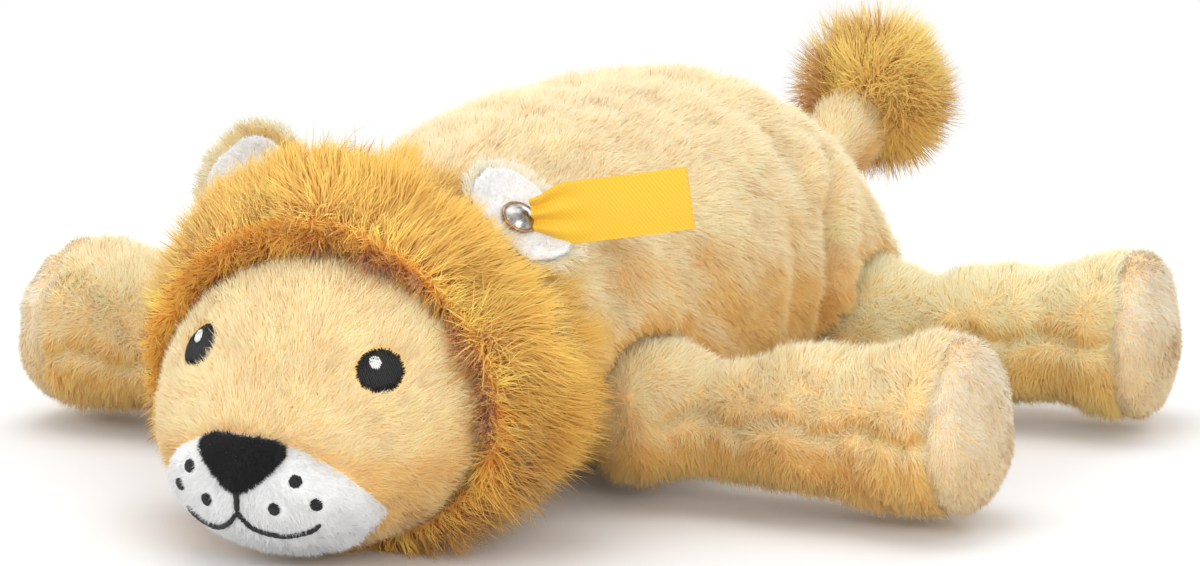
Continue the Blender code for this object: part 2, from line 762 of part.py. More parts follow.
def mane_ring(share, swell, angles, forward=0.0):
    """A section of the mane's outer surface, leaning to the lion's right as it rises."""
    distance = FACE_EDGE_FROM_NECK - share * MANE_LENGTH
    half_width, top, bottom = interpolate(sorted(head_table()), distance)
    widest = (top + bottom) / 2
    half_width += (MANE_HALF_WIDTH - half_width) * swell
    top += (MANE_HEIGHT - top) * swell
    widest += (MANE_MIDDLE - widest) * swell
    heights = (top, widest, -FLOOR_CUT - MANE_DROOP * swell)
    ring = section_ring(angles, NECK_Y - distance - forward, half_width, heights,
                        (MANE_POWER, FACE_LOWER_POWER))
    for point in ring:
        point.x -= MANE_LEAN * swell * max(point.z - top / 2, 0) / (top / 2)
    return ring


def mane_point(share, angle):
    """A point of the mane's outer surface."""
    swell = interpolate(MANE_SWELL_SHARES, share)[0]
    return mane_ring(share, swell, [angle])[0]


def build_mane(head, floor):
    angles = [2 * math.pi * i / HEAD_COLUMNS for i in range(HEAD_COLUMNS)]
    core = head_rows(angles, 0, len(CROWN_SECTION_SHARES) + 1)
    edge = [point + Vector((0, SEAM_GAP, 0)) for point in core[-1]]
    inner = shrunk(core, SHORT_PILE)
    inner[-1] = squared(edge, inner[-1])
    outer = [mane_ring(share, swell, angles, 0.0 if share else MANE_LIP)
             for share, swell in MANE_SWELL_SHARES]
    mane = add_solid("mane_panel", *ring_loft(inner + [edge] + outer), "gold_plush", head)
    cut(mane, floor, "flat_rest")


def cup_rows(radius, angles, rings):
    rows = []
    for turn in rings:
        reach = radius * math.sin(turn)
        y = NECK_Y - radius * math.cos(turn)
        rows.append([Vector((reach * math.cos(a), y, NECK_HEIGHT + reach * math.sin(a)))
                     for a in angles])
    return rows


def build_head(floor):
    pivot = Vector((0, NECK_Y, NECK_HEIGHT))
    head = place_empty("head_joint", pivot)
    angles = [2 * math.pi * i / HEAD_COLUMNS for i in range(HEAD_COLUMNS)]
    face_rows = head_rows(angles, len(CROWN_SECTION_SHARES))
    tip = snout_tip()
    back = Vector((0, SHORT_PILE, 0))
    face_inner = shrunk(face_rows, SHORT_PILE)
    face_inner[0] = squared(face_rows[0], face_inner[0])
    face = add_solid("face_panel", *capped_sheet(face_rows, face_inner, tip, tip + back),
                     "cream_plush", head)
    cut(face, muzzle_prism("muzzle_opening_cutter", SEAM_GAP), "muzzle_opening")
    cut(face, floor, "flat_rest")
    puffed = shrunk(face_rows, -MUZZLE_PUFF)
    puffed_tip = tip - Vector((0, MUZZLE_PUFF, 0))
    muzzle = add_solid("muzzle_panel", *loft(puffed, None, puffed_tip), "white_plush", head)
    kept = muzzle.modifiers.new("muzzle_outline", "BOOLEAN")
    kept.operation = "INTERSECT"
    kept.solver = "EXACT"
    kept.object = muzzle_prism("muzzle_outline_cutter", 0.0)
    whole_inner = shrunk(head_rows(angles, 0), SHORT_PILE)
    backing = add_solid("muzzle_backing_cutter", *loft(whole_inner, None, tip + back),
                        None, None, CUTTERS)
    cut(muzzle, as_cutter(backing), "stuffing_side")
    cut(muzzle, floor, "flat_rest")
    build_nose(BVHTree.FromPolygons(*loft(puffed, None, puffed_tip)), head)
    cheeks = BVHTree.FromPolygons(*loft(face_rows, None, tip))
    build_eye("eye_left", 1, cheeks, head)
    build_eye("eye_right", -1, cheeks, head)
    depth = SHORT_PILE + SEAM_GAP
    core = shrunk(head_rows(angles, 0), depth)
    filling = add_solid("head_stuffing",
                        *loft(core, None, tip + back + Vector((0, SEAM_GAP, 0))),
                        "stuffing", head)
    cup_radius = NECK_BALL_RADIUS + NECK_CLEARANCE
    lining_radius = cup_radius + SHORT_PILE
    hollow = sphere_cutter("neck_cup_cutter", pivot, lining_radius + SEAM_GAP)
    cut(filling, hollow, "neck_cup")
    rim_turn = math.acos(HEAD_BACK_FROM_NECK / lining_radius)
    turns = [rim_turn] + [math.radians(degrees) for degrees in CUP_RING_DEGREES]
    pole = Vector((0, -1, 0))
    cup = capped_sheet(cup_rows(lining_radius, angles, turns),
                       cup_rows(cup_radius, angles, turns),
                       pivot + pole * lining_radius, pivot + pole * cup_radius)
    add_solid("head_back_panel", *cup, "cream_plush", head)
    build_mane(head, floor)
    return head


# Ears, button and ribbon


def ear_frame(side):
    """The root's middle on the mane, and the ear's directions across, up and forwards."""
    degrees, share, lean = EAR_PLACES[side]
    step = math.radians(side)
    angle = math.pi / 2 - side * math.radians(90 - degrees)
    root = mane_point(share, angle)
    across = (mane_point(share, angle - step) - root).normalized()
    along = mane_point(share + abs(step), angle) - root
    outward = across.cross(along).normalized()
    if outward.x * side < 0:
        outward.negate()
    way = Vector((side * lean.x, lean.y, lean.z))
    up = (way - across * way.dot(across)).normalized()
    front = across.cross(up).normalized()
    if front.y > 0:
        front.negate()
    return root + outward * EAR_SEAT_GAP, across, up, front


def ear_grid(frame, size, low, high):
    """Rows of an ear's cloth, from its low layer to its high one along the front."""
    root, across, up, front = frame
    layers = []
    for level in (low, high):
        rows = []
        for height, width in EAR_ROWS_SHARES:
            row = []
            for column in EAR_COLUMN_SHARES:
                wide = width * column
                bend = EAR_CUP * wide ** 2 + EAR_CURL * height ** 2
                thick = EAR_ROOT_CLOTH / EAR_BACK_CLOTH if height == 0 else 1
                row.append(root + across * (EAR_HALF_WIDTH * size * wide)
                           + up * (EAR_HEIGHT * size * height)
                           + front * (bend + level * thick))
            rows.append(row)
        layers.append(rows)
    return layers


def build_ear(name, side, head):
    frame = ear_frame(side)
    joint = place_empty(name + "_joint", frame[0], head)
    half_gap = SEAM_GAP / 2
    back = ear_grid(frame, 1.0, -half_gap - EAR_BACK_CLOTH, -half_gap)
    lining = ear_grid(frame, LINING_SHARE, half_gap, half_gap + EAR_LINING_CLOTH)
    pieces = [
        add_solid(name + "_back", *sheet(back[1], back[0], False), "cream_plush", joint),
        add_solid(name + "_lining", *sheet(lining[1], lining[0], False), "white_plush",
                  joint),
    ]
    return frame, joint, pieces


def turned_rows(profile, origin, direction):
    """Rows around a direction for a turned piece's profile of (radius, height)."""
    side = direction.orthogonal().normalized()
    third = direction.cross(side)
    rows = []
    for radius, height in profile:
        rows.append([origin + direction * height
                     + side * (radius * math.cos(2 * math.pi * i / BUTTON_STEPS))
                     + third * (radius * math.sin(2 * math.pi * i / BUTTON_STEPS))
                     for i in range(BUTTON_STEPS)])
    return rows


def build_button(frame, joint, pieces):
    """A domed button whose shank goes through both cloths to a washer on the back."""
    root, _, up, front = frame
    share = BUTTON_FROM_ROOT / EAR_HEIGHT
    curl = EAR_CURL * share ** 2
    base = root + up * BUTTON_FROM_ROOT + front * curl
    lining = SEAM_GAP / 2 + EAR_LINING_CLOTH + BUTTON_SEAT_GAP
    behind = SEAM_GAP / 2 + EAR_BACK_CLOTH + SEAT_GAP
    profile = [
        (SHANK_RADIUS, -behind - WASHER_THICKNESS),
        (SHANK_RADIUS, lining),
        (BUTTON_RADIUS, lining),
        (BUTTON_RADIUS, lining + BUTTON_RIM),
    ]
    for reach, height in BUTTON_DOME_SHARES:
        profile.append((reach * BUTTON_RADIUS, lining + BUTTON_RIM + height * BUTTON_DOME))
    add_solid("ear_button", *loft(turned_rows(profile, base, front)), "button_metal", joint)
    hole = SHANK_RADIUS + SHANK_CLEARANCE
    washer = [
        (hole, -behind - WASHER_THICKNESS), (WASHER_RADIUS, -behind - WASHER_THICKNESS),
        (WASHER_RADIUS, -behind), (hole, -behind),
    ]
    add_solid("ear_button_washer", *ring_loft(turned_rows(washer, base, front)),
              "button_metal", joint)
    bore = [(hole, -CUTTER_OVERRUN), (hole, CUTTER_OVERRUN)]
    drill = add_solid("ear_hole_cutter", *loft(turned_rows(bore, base, front)), None, None,
                      CUTTERS)
    for piece in pieces:
        cut(piece, as_cutter(drill), "shank_hole")
    return base + front * (lining + BUTTON_RIM / 2)


def build_tag(level, ear_joint):
    """A folded ribbon, drawn together at the button and flat beyond it."""
    direction = TAG_DIRECTION.normalized()
    width_way = (Vector((0, 0, 1)) - direction * direction.z).normalized()
    face = direction.cross(width_way)
    if face.y > 0:
        face.negate()
    start = level + direction * (BUTTON_RADIUS + SEAT_GAP)
    joint = place_empty("tag_joint", start, ear_joint)
    layers = []
    for lift in (-TAG_THICKNESS / 2, TAG_THICKNESS / 2):
        rows = []
        for length, width in TAG_ROWS_SHARES:
            row = []
            for column in TAG_COLUMN_SHARES:
                bow = TAG_BOW * (1 - length) * (1 - column ** 2)
                row.append(start + direction * (TAG_LENGTH * length)
                           + width_way * (TAG_HALF_WIDTH * width * column)
                           + face * (lift + bow))
            rows.append(row)
        layers.append(rows)
    add_solid("ear_tag", *sheet(layers[1], layers[0], False), "yellow_ribbon", joint)


def build_lion():
    floor = floor_cutter()
    legs = {
        "front_leg": (FRONT_LEG_FROM_NECK, FRONT_LEG_LENGTH, FRONT_LEG_TURNS,
                      FRONT_LEG_SHARES),
        "hind_leg": (HIND_LEG_FROM_NECK, HIND_LEG_LENGTH, HIND_LEG_TURNS,
                     HIND_LEG_SHARES),
    }
    sockets = [floor]
    for leg, (from_neck, length, turns, shares) in legs.items():
        for word, side, turn in (("left", 1, turns[0]), ("right", -1, turns[1])):
            origin, _ = leg_place(side, from_neck, length, turn)
            name = leg + "_" + word
            sockets.append(sphere_cutter(name + "_socket_cutter", origin,
                                         LEG_BALL_RADIUS + SEAT_GAP))
            build_leg(name, side, from_neck, length, turn, shares, floor)
    tail_origin, _ = tail_place()
    sockets.append(sphere_cutter("tail_socket_cutter", tail_origin,
                                 TAIL_BALL_RADIUS + SEAT_GAP))
    build_torso(sockets)
    build_tail()
    head = build_head(floor)
    build_ear("ear_right", -1, head)
    frame, joint, pieces = build_ear("ear_left", 1, head)
    level = build_button(frame, joint, pieces)
    build_tag(level, joint)


clear_scene()
PARTS = make_collection("plush_lion")
CUTTERS = make_collection("cutters")
MATERIALS = {name: make_material(name) for name in COLOURS}
build_lion()
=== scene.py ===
"""The plush lion's looks: stuffed skins under real pile, embroidery, metal button and ribbon."""
import json
import math

import bmesh
import bpy
import numpy as np
from mathutils import Matrix, Vector
from mathutils.bvhtree import BVHTree
from mathutils.kdtree import KDTree


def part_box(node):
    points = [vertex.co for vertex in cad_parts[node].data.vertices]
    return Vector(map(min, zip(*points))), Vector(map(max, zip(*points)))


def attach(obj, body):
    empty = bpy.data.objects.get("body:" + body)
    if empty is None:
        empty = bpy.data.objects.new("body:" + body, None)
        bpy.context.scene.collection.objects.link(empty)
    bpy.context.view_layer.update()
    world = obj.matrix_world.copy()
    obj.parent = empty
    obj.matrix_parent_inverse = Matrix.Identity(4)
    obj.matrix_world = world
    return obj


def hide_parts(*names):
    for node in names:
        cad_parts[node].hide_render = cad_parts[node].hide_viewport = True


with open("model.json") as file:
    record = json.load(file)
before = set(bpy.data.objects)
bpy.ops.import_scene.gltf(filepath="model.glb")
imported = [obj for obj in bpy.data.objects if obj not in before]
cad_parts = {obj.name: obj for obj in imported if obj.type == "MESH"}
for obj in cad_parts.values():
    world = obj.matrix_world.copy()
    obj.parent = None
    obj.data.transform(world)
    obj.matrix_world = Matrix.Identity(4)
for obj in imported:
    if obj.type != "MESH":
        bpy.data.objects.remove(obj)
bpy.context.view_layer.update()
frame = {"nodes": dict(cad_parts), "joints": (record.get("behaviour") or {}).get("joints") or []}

MM = 0.001
NODES = frame["nodes"]
JOINTS = {joint["child"]: Vector(joint["pos_m"]) for joint in frame["joints"]}
LEGS = ("front_leg_left", "front_leg_right", "hind_leg_left", "hind_leg_right")
SIDES = (("left", 1), ("right", -1))

# Camera, as fitted to the photograph
IMAGE_WIDTH = 1200
VIEW_AZIMUTH = 29.8
VIEW_ELEVATION = 12.9
VIEW_DISTANCE = 1.5
VIEW_TARGET = Vector((0.0111, -0.01805, 0.03822))
PIXELS_PER_METRE = 4650
SENSOR = 36.0

# Light: each lamp's place, size and power, what they point at, the world's strength, and the
# floor's size, how much light it sends back, its colour and where it fades into white
LIGHTS = {
    "overhead": ((-0.20, 0.05, 1.10), 0.9, 3.6),
    "key": ((-0.45, -1.10, 0.60), 0.7, 3.6),
    "fill": ((0.95, -0.85, 0.45), 0.8, 5.0),
    "rim": ((0.1, 1.2, 0.6), 0.8, 4.2),
}
LIGHT_TARGET = (0, 0, 0.03)
WORLD_LIGHT = 0.80
FLOOR_HALF = 3.0
FLOOR_BOUNCE = 0.60
FLOOR_COLOUR = 0.92
FLOOR_FADE = (0.15, 0.36)

# Stuffed skins: how far inside the CAD solids the cloth lies, to leave room for the pile,
# and how the filling presses it out
PILE_ROOM = 1.6
PRESSURE = 4.0
PUFF_FRAMES = 20
PUFF_CAP = 1.5 * MM
TORSO_VOXEL, LEG_VOXEL, HEAD_VOXEL = 3.3 * MM, 3.2 * MM, 3.0 * MM
TAIL_VOXEL, TUFT_VOXEL = 1.6 * MM, 2.0 * MM
EAR_VOXEL, NOSE_VOXEL = 0.5 * MM, 0.45 * MM
TUFT_CORE = 0.54
SOLE_LENGTH = 10.5 * MM


def srgb(red, green, blue):
    """A linear colour from the 0 to 255 values that a picture shows."""
    def line(value):
        share = value / 255
        return share / 12.92 if share <= 0.04045 else ((share + 0.055) / 1.055) ** 2.4
    return np.array([line(red), line(green), line(blue)])


# Pile: colours at the root and tip, the share of them kept on undersides as painted shade,
# length and width at the root in millimetres, strands per square millimetre, how steeply a
# strand rises at its root and at its tip, how strongly it clumps and over what size, how many
# rows of faces a strand has, and the material slot
PILES = {
    "cream": dict(root=srgb(252, 214, 146), tip=srgb(255, 244, 208), keep=(0.99, 0.73, 0.38),
                  length=3.7, width=0.20, density=11.3, rise=(0.42, 0.24), clump=0.24,
                  clump_size=2.2, rows=1, slot="cream_plush"),
    "face": dict(root=srgb(254, 215, 146), tip=srgb(255, 243, 200), keep=(0.97, 0.79, 0.54),
                 length=3.2, width=0.19, density=12.4, rise=(0.42, 0.24), clump=0.22,
                 clump_size=2.0, rows=1, slot="cream_plush"),
    "gold": dict(root=srgb(238, 166, 70), tip=srgb(255, 215, 112), keep=(0.82, 0.70, 0.56),
                 length=13.0, width=0.19, density=7.8, rise=(0.82, 0.24), clump=0.36,
                 clump_size=2.5, rows=3, slot="gold_plush"),
    "tuft": dict(root=srgb(255, 186, 90), tip=srgb(255, 225, 128), keep=(1.00, 0.88, 0.74),
                 length=14.0, width=0.20, density=11.5, rise=(0.92, 0.55), clump=0.24,
                 clump_size=2.8, rows=3, slot="gold_plush"),
    "sole": dict(root=srgb(254, 233, 196), tip=srgb(255, 249, 234), keep=(0.97, 0.84, 0.62),
                 length=1.7, width=0.19, density=14.0, rise=(0.42, 0.24), clump=0.22,
                 clump_size=1.8, rows=1, slot="sole_plush"),
    "white": dict(root=srgb(248, 248, 247), tip=srgb(254, 254, 253), keep=(1, 1, 1),
                  length=1.8, width=0.17, density=15.0, rise=(0.44, 0.26), clump=0.22,
                  clump_size=1.3, rows=1, slot="white_plush"),
    "black": dict(root=srgb(5, 5, 6), tip=srgb(26, 25, 28), keep=(1, 1, 1),
                  length=1.2, width=0.20, density=16.0, rise=(0.70, 0.40), clump=0.25,
                  clump_size=1.0, rows=1, slot="black_plush"),
}
CELLS = 128
MANE_CENTRE = (0, 0, 33 * MM)
MANE_SPLIT = 45 * MM
STRAY_SHARE = 0.07
BRIGHTEST = 0.985
FLOOR_ROOM = 0.2 * MM

# Where the face's embroidery lies, in millimetres, to be dropped on the head's skin
MOUTH_STEM = ((0.0, -147.0, 20.6), (-0.2, -147.0, 17.4), (-0.7, -146.5, 14.2))
MOUTH_LEFT = ((-0.7, -146.5, 14.2), (2.0, -145.0, 11.2), (5.6, -143.0, 9.4), (9.9, -141.5, 8.9),
              (13.6, -140.5, 10.2), (16.3, -140.0, 12.8))
MOUTH_RIGHT = ((-0.7, -146.5, 14.2), (-2.9, -145.0, 11.5), (-6.0, -143.0, 9.4),
               (-9.9, -141.5, 8.7), (-13.6, -140.5, 9.8), (-16.3, -140.0, 12.4))
WHISKER_DOTS = ((12.8, -143.9, 22.7), (8.1, -144.7, 16.3), (16.5, -141.9, 17.7))
DOT_RADIUS = 1.30
THREAD_RADIUS = 0.55
THREAD_SIDES = 6
THREAD_ROOM = 0.75 * MM
EYE_ROOM = 4.80 * MM
NOSE_MARGIN = 0.9 * MM
EYES = {"eye_left": (21.5, -125.6, 43.0), "eye_right": (-22.2, -124.8, 43.0)}
EYE_RADIUS = 4.75
GLINT_OFFSET = (-0.9, 1.4)
GLINT_RADII = (1.15, 1.5)
SHARP = math.radians(60)

# The button's profile from its seat up, as radius and height in millimetres: back, rolled rim
# and dome
BUTTON_PROFILE = ((1.3, 0), (3.3, 0), (3.8, 0.05), (4.0, 0.30), (3.95, 0.55), (3.75, 0.72),
                  (3.50, 0.70), (3.36, 0.60), (3.20, 0.78), (2.7, 1.22), (2.0, 1.66),
                  (1.2, 1.98), (0.5, 2.15))
BUTTON_HEIGHT = 2.2 * MM
BUTTON_STEPS = 48
RIM_ROWS = range(2, 8)
SHANK_RADIUS = 1.3 * MM
RIBBON_HALF, RIBBON_GAP, RIBBON_THICKNESS = 6.4 * MM, 0.30 * MM, 0.28 * MM

# Folds of the slack cloth on the torso's left side, mirrored on the right
TORSO_FOLDS = (
    (((33.0, 42.0, 61.0), (37.6, 37.0, 55.0), (39.9, 30.0, 48.0), (41.2, 25.5, 38.0),
      (41.4, 25.5, 28.0), (38.0, 30.0, 18.0)), 4.4, 3.0, 1.7),
    (((42.5, 10.5, 52.0), (43.3, 9.5, 42.0), (43.3, 9.5, 31.0), (42.0, 13.0, 22.0)),
     1.7, 4.0, 0.9),
    (((30.0, 67.0, 34.0), (33.5, 65.5, 27.0), (35.4, 65.9, 19.0)), 2.8, 3.0, 1.3),
    (((30.0, -53.0, 58.0), (33.0, -52.0, 47.0), (34.4, -50.5, 38.0)), 1.6, 4.0, 1.2),
    (((36.0, -28.0, 50.0), (40.0, -25.0, 40.0), (42.0, -24.0, 32.0)), 1.0, 5.0, 0.8),
)
# The slack cloth's ridge over the hips and hollow behind them: place, size and depth inwards
TORSO_SWELLS = (((0, 44, 72), (30, 22, 16), -3.4), ((33, 76, 50), (15, 12, 15), 3.6))
# Folds round each leg: share of the way to the sole's seam, depth, width and slant
LEG_FOLDS = ((0.16, 1.3, 3.4, 0.30), (0.42, 0.5, 4.6, -0.25), (0.68, 0.35, 4.4, 0.20))


def wave(points, size, seed):
    """A smooth field from about -1 to 1 over points, whose features have about that size."""
    rng = np.random.default_rng(seed)
    total = np.zeros(len(points))
    count = 9
    for _ in range(count):
        way = rng.normal(size=3)
        way *= 2 * math.pi / size * rng.uniform(0.6, 1.4) / np.linalg.norm(way)
        total += np.sin(points @ way + rng.uniform(0, 2 * math.pi))
    return total / math.sqrt(count)


def norm(rows):
    return np.linalg.norm(rows, axis=-1)


def unit(rows):
    return rows / np.maximum(norm(rows), 1e-12)[..., None]


def smoothstep(low, high, value):
    share = np.clip((value - low) / (high - low), 0, 1)
    return share * share * (3 - 2 * share)


def bell(distance, width):
    return np.exp(-(distance / width) ** 2)


# Meshes


def read(items, key, kind=float):
    """Three numbers from each of a mesh's items."""
    values = np.empty(len(items) * 3, kind)
    items.foreach_get(key, values)
    return values.reshape(-1, 3)


def points_of(mesh):
    return read(mesh.vertices, "co")


def normals_of(mesh):
    return read(mesh.vertex_normals, "vector")


def move_points(mesh, points):
    mesh.vertices.foreach_set("co", np.ascontiguousarray(points, np.float32).ravel())
    mesh.update()


def press(mesh, depth):
    """Moves a mesh's points inwards by a depth, which may be one for each point."""
    move_points(mesh, points_of(mesh) - normals_of(mesh) * np.reshape(depth, (-1, 1)))


def middle_of(node):
    return np.mean(np.array(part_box(node)), axis=0)


def surface_of(mesh):
    return BVHTree.FromPolygons([v.co.copy() for v in mesh.vertices],
                                [tuple(p.vertices) for p in mesh.polygons])


def mesh_of(name, body, *materials):
    """A smooth mesh from a bmesh, with its faces turned outwards."""
    bmesh.ops.recalc_face_normals(body, faces=body.faces[:])
    mesh = bpy.data.meshes.new(name)
    body.to_mesh(mesh)
    body.free()
    mesh.shade_smooth()
    for material in materials:
        mesh.materials.append(MATERIALS[material])
    return mesh


def ring(body, centre, side, third, radius, count):
    """Vertices on a circle, added to a bmesh."""
    turns = [2 * math.pi * step / count for step in range(count)]
    return [body.verts.new(centre + (side * math.cos(turn) + third * math.sin(turn)) * radius)
            for turn in turns]


def add_faces(body, rows, closed=True):
    """Faces between rows of vertices, and at both ends of a closed form."""
    made = []
    for one, other in zip(rows, rows[1:]):
        for step in range(len(one) - (not closed)):
            after = (step + 1) % len(one)
            made.append(body.faces.new((one[step], one[after], other[after], other[step])))
    if closed:
        body.faces.new(rows[0][::-1])
        body.faces.new(rows[-1])
    return made


def linked(name, data):
    made = bpy.data.objects.new(name, data)
    bpy.context.scene.collection.objects.link(made)
    return made


def add_object(name, mesh, body):
    made = linked(name, mesh)
    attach(made, body)
    return made


def joined(nodes):
    """One mesh from copies of CAD nodes' meshes."""
    body = bmesh.new()
    for node in nodes:
        body.from_mesh(NODES[node].data)
    mesh = bpy.data.meshes.new("joined")
    body.to_mesh(mesh)
    body.free()
    return mesh


def applied(mesh, modifiers):
    """The mesh after modifiers, given as (type, settings)."""
    holder = linked("holder", mesh)
    for kind, settings in modifiers:
        modifier = holder.modifiers.new(kind, kind)
        for key, value in settings.items():
            setattr(modifier, key, value)
    depsgraph = bpy.context.evaluated_depsgraph_get()
    made = bpy.data.meshes.new_from_object(holder.evaluated_get(depsgraph))
    bpy.data.objects.remove(holder)
    return made


def biggest_shell(mesh):
    """Leaves only the largest connected part of a mesh."""
    body = bmesh.new()
    body.from_mesh(mesh)
    left, best = set(body.verts), []
    while left:
        island = [left.pop()]
        for vert in island:
            for edge in vert.link_edges:
                other = edge.other_vert(vert)
                if other in left:
                    left.remove(other)
                    island.append(other)
        best = max(best, island, key=len)
    keep = set(best)
    bmesh.ops.delete(body, geom=[v for v in body.verts if v not in keep], context="VERTS")
    body.to_mesh(mesh)
    body.free()
    return mesh


def puffed(mesh):
    """The cloth blown up from inside by its filling: simulated, with a cap on each point."""
    holder = linked("puffing", mesh)
    cloth = holder.modifiers.new("cloth", "CLOTH")
    cloth.settings.quality = 4
    cloth.settings.use_pressure = True
    cloth.settings.uniform_pressure_force = PRESSURE
    cloth.settings.effector_weights.gravity = 0
    cloth.point_cache.frame_end = PUFF_FRAMES
    for number in range(1, PUFF_FRAMES + 1):
        bpy.context.scene.frame_set(number)
    depsgraph = bpy.context.evaluated_depsgraph_get()
    blown = points_of(holder.evaluated_get(depsgraph).to_mesh())
    bpy.data.objects.remove(holder)
    bpy.context.scene.frame_set(1)
    shift = blown - points_of(mesh)
    limit = np.minimum(1, PUFF_CAP / np.maximum(norm(shift), 1e-9))
    move_points(mesh, points_of(mesh) + shift * limit[:, None])
    return mesh


def pile_room(points, room, roots):
    """How far inside the CAD solids a skin lies: less round the joints, to keep gaps small."""
    if not roots:
        return room * MM
    near = np.min([norm(points - np.array(JOINTS[root])) for root in roots], axis=0)
    return room * MM * (0.1 + 0.9 * smoothstep(19 * MM, 30 * MM, near))


def remesh(voxel):
    return "REMESH", dict(mode="VOXEL", voxel_size=voxel)


def soften(times):
    return "SMOOTH", dict(factor=0.5, iterations=times)


def skin_mesh(nodes, voxel, smooth, room=PILE_ROOM, puff=True, roots=()):
    """One smooth stuffed form over CAD solids, a little inside them to leave room for pile."""
    mesh = biggest_shell(applied(joined(nodes), [remesh(voxel)]))
    mesh = applied(mesh, [soften(smooth)])
    if puff:
        press(mesh, 0.5 * PUFF_CAP)
        mesh = puffed(mesh)
    press(mesh, pile_room(points_of(mesh), room, roots))
    return applied(mesh, [("SUBSURF", dict(levels=1, render_levels=1))])


def lumps(mesh, height, size, seed):
    """Uneven filling: soft lumps all over a skin."""
    press(mesh, -height * wave(points_of(mesh), size, seed))


def line_distance(points, line):
    """How far each point is from a polyline, and how far along it the nearest place is."""
    best = np.full(len(points), 1e9)
    along = np.zeros(len(points))
    run = 0.0
    for start, end in zip(line, line[1:]):
        step = end - start
        length = np.linalg.norm(step)
        share = np.clip((points - start) @ step / length ** 2, 0, 1)
        distance = norm(points - start - share[:, None] * step)
        closer = distance < best
        best[closer] = distance[closer]
        along[closer] = run + share[closer] * length
        run += length
    return best, along / run


def crease(mesh, line, depth, width, ridge):
    """A fold pressed into a skin along a line, with a soft ridge beside it."""
    points = points_of(mesh)
    distance, along = line_distance(points, np.array(line) * MM)
    ends = np.minimum(1, 4 * np.minimum(along, 1 - along) + 0.15)
    depth_here = depth * bell(distance, width * MM)
    depth_here -= ridge * bell(distance - 2 * width * MM, width * MM)
    press(mesh, depth_here * ends * MM)


# Pile


def tree_of(points):
    tree = KDTree(len(points))
    for index, point in enumerate(points):
        tree.insert(point, index)
    tree.balance()
    return tree


def scatter(mesh, density, seed):
    """Points spread evenly over a mesh, with the surface's normals there."""
    mesh.calc_loop_triangles()
    corners = read(mesh.loop_triangles, "vertices", np.int32)
    points, normals = points_of(mesh), normals_of(mesh)
    a, b, c = (points[corners[:, i]] for i in range(3))
    area = norm(np.cross(b - a, c - a)) / 2
    count = int(area.sum() / MM ** 2 * density)
    rng = np.random.default_rng(seed)
    spots = (np.arange(count) + rng.random(count)) / count
    pick = np.searchsorted(np.cumsum(area) / area.sum(), spots).clip(0, len(area) - 1)
    first = np.sqrt(rng.random(count))
    second = rng.random(count)
    shares = np.stack([1 - first, first * (1 - second), first * second], axis=1)
    chosen = corners[pick]
    roots = (points[chosen] * shares[:, :, None]).sum(axis=1)
    return roots, unit((normals[chosen] * shares[:, :, None]).sum(axis=1))


def grow(roots, normals, comb, pile, seed, lengths):
    """The points along each strand: an array of (rows + 1, strands, 3)."""
    rng = np.random.default_rng(seed)
    count = len(roots)
    rows = pile["rows"]
    comb = comb - normals * np.einsum("ij,ij->i", comb, normals)[:, None]
    comb = unit(comb + rng.normal(scale=0.40, size=(count, 3)))
    length = pile["length"] * MM * rng.uniform(0.72, 1.12, count) * lengths
    low, high = pile["rise"]
    stray = 0.35 * (rng.random(count) < STRAY_SHARE)
    start = low + rng.normal(scale=0.10, size=count) + stray
    end = high + rng.normal(scale=0.10, size=count) + stray
    wander = rng.normal(scale=0.17, size=(count, 3))
    path = [roots]
    for row in range(rows):
        share = (row + 0.5) / rows
        rise = np.clip(start * (1 - share) + end * share, 0.02, 0.99)
        way = normals * rise[:, None] + comb * np.sqrt(1 - rise ** 2)[:, None]
        way = unit(way + wander * share)
        path.append(path[-1] + way * (length / rows)[:, None])
    return np.array(path)


def clumped(path, pile, seed):
    """Draws the tips of strands together in tufts round some of them."""
    rng = np.random.default_rng(seed)
    count = path.shape[1]
    centres = max(int(count / (pile["density"] * pile["clump_size"] ** 2)), 1)
    chosen = rng.choice(count, centres, replace=False)
    tree = tree_of(path[0, chosen])
    nearest = np.array([tree.find(point)[1] for point in path[0]])
    leader = path[:, chosen[nearest]]
    strength = pile["clump"] * rng.uniform(0.4, 1.4, centres)[nearest]
    rows = len(path) - 1
    for row in range(1, rows + 1):
        pull = np.clip(strength * (row / rows) ** 1.4, 0, 0.95)[:, None]
        path[row] += (leader[row] - path[row]) * pull
    return path, nearest


def strand_rows(path, normals, width, seed):
    """For each row along the strands: their two edge points and the way they face."""
    rng = np.random.default_rng(seed)
    rows = len(path) - 1
    turn = rng.normal(scale=0.30, size=path.shape[1])
    for row, way in enumerate(unit(np.gradient(path, axis=0))):
        side = unit(np.cross(way, normals))
        out = unit(np.cross(side, way))
        side = side * np.cos(turn)[:, None] + out * np.sin(turn)[:, None]
        half = width / 2 * (1 - 0.75 * (row / rows) ** 2)
        yield path[row] - side * half[:, None], path[row] + side * half[:, None], (
            unit(out * 0.35 + normals * 0.75))


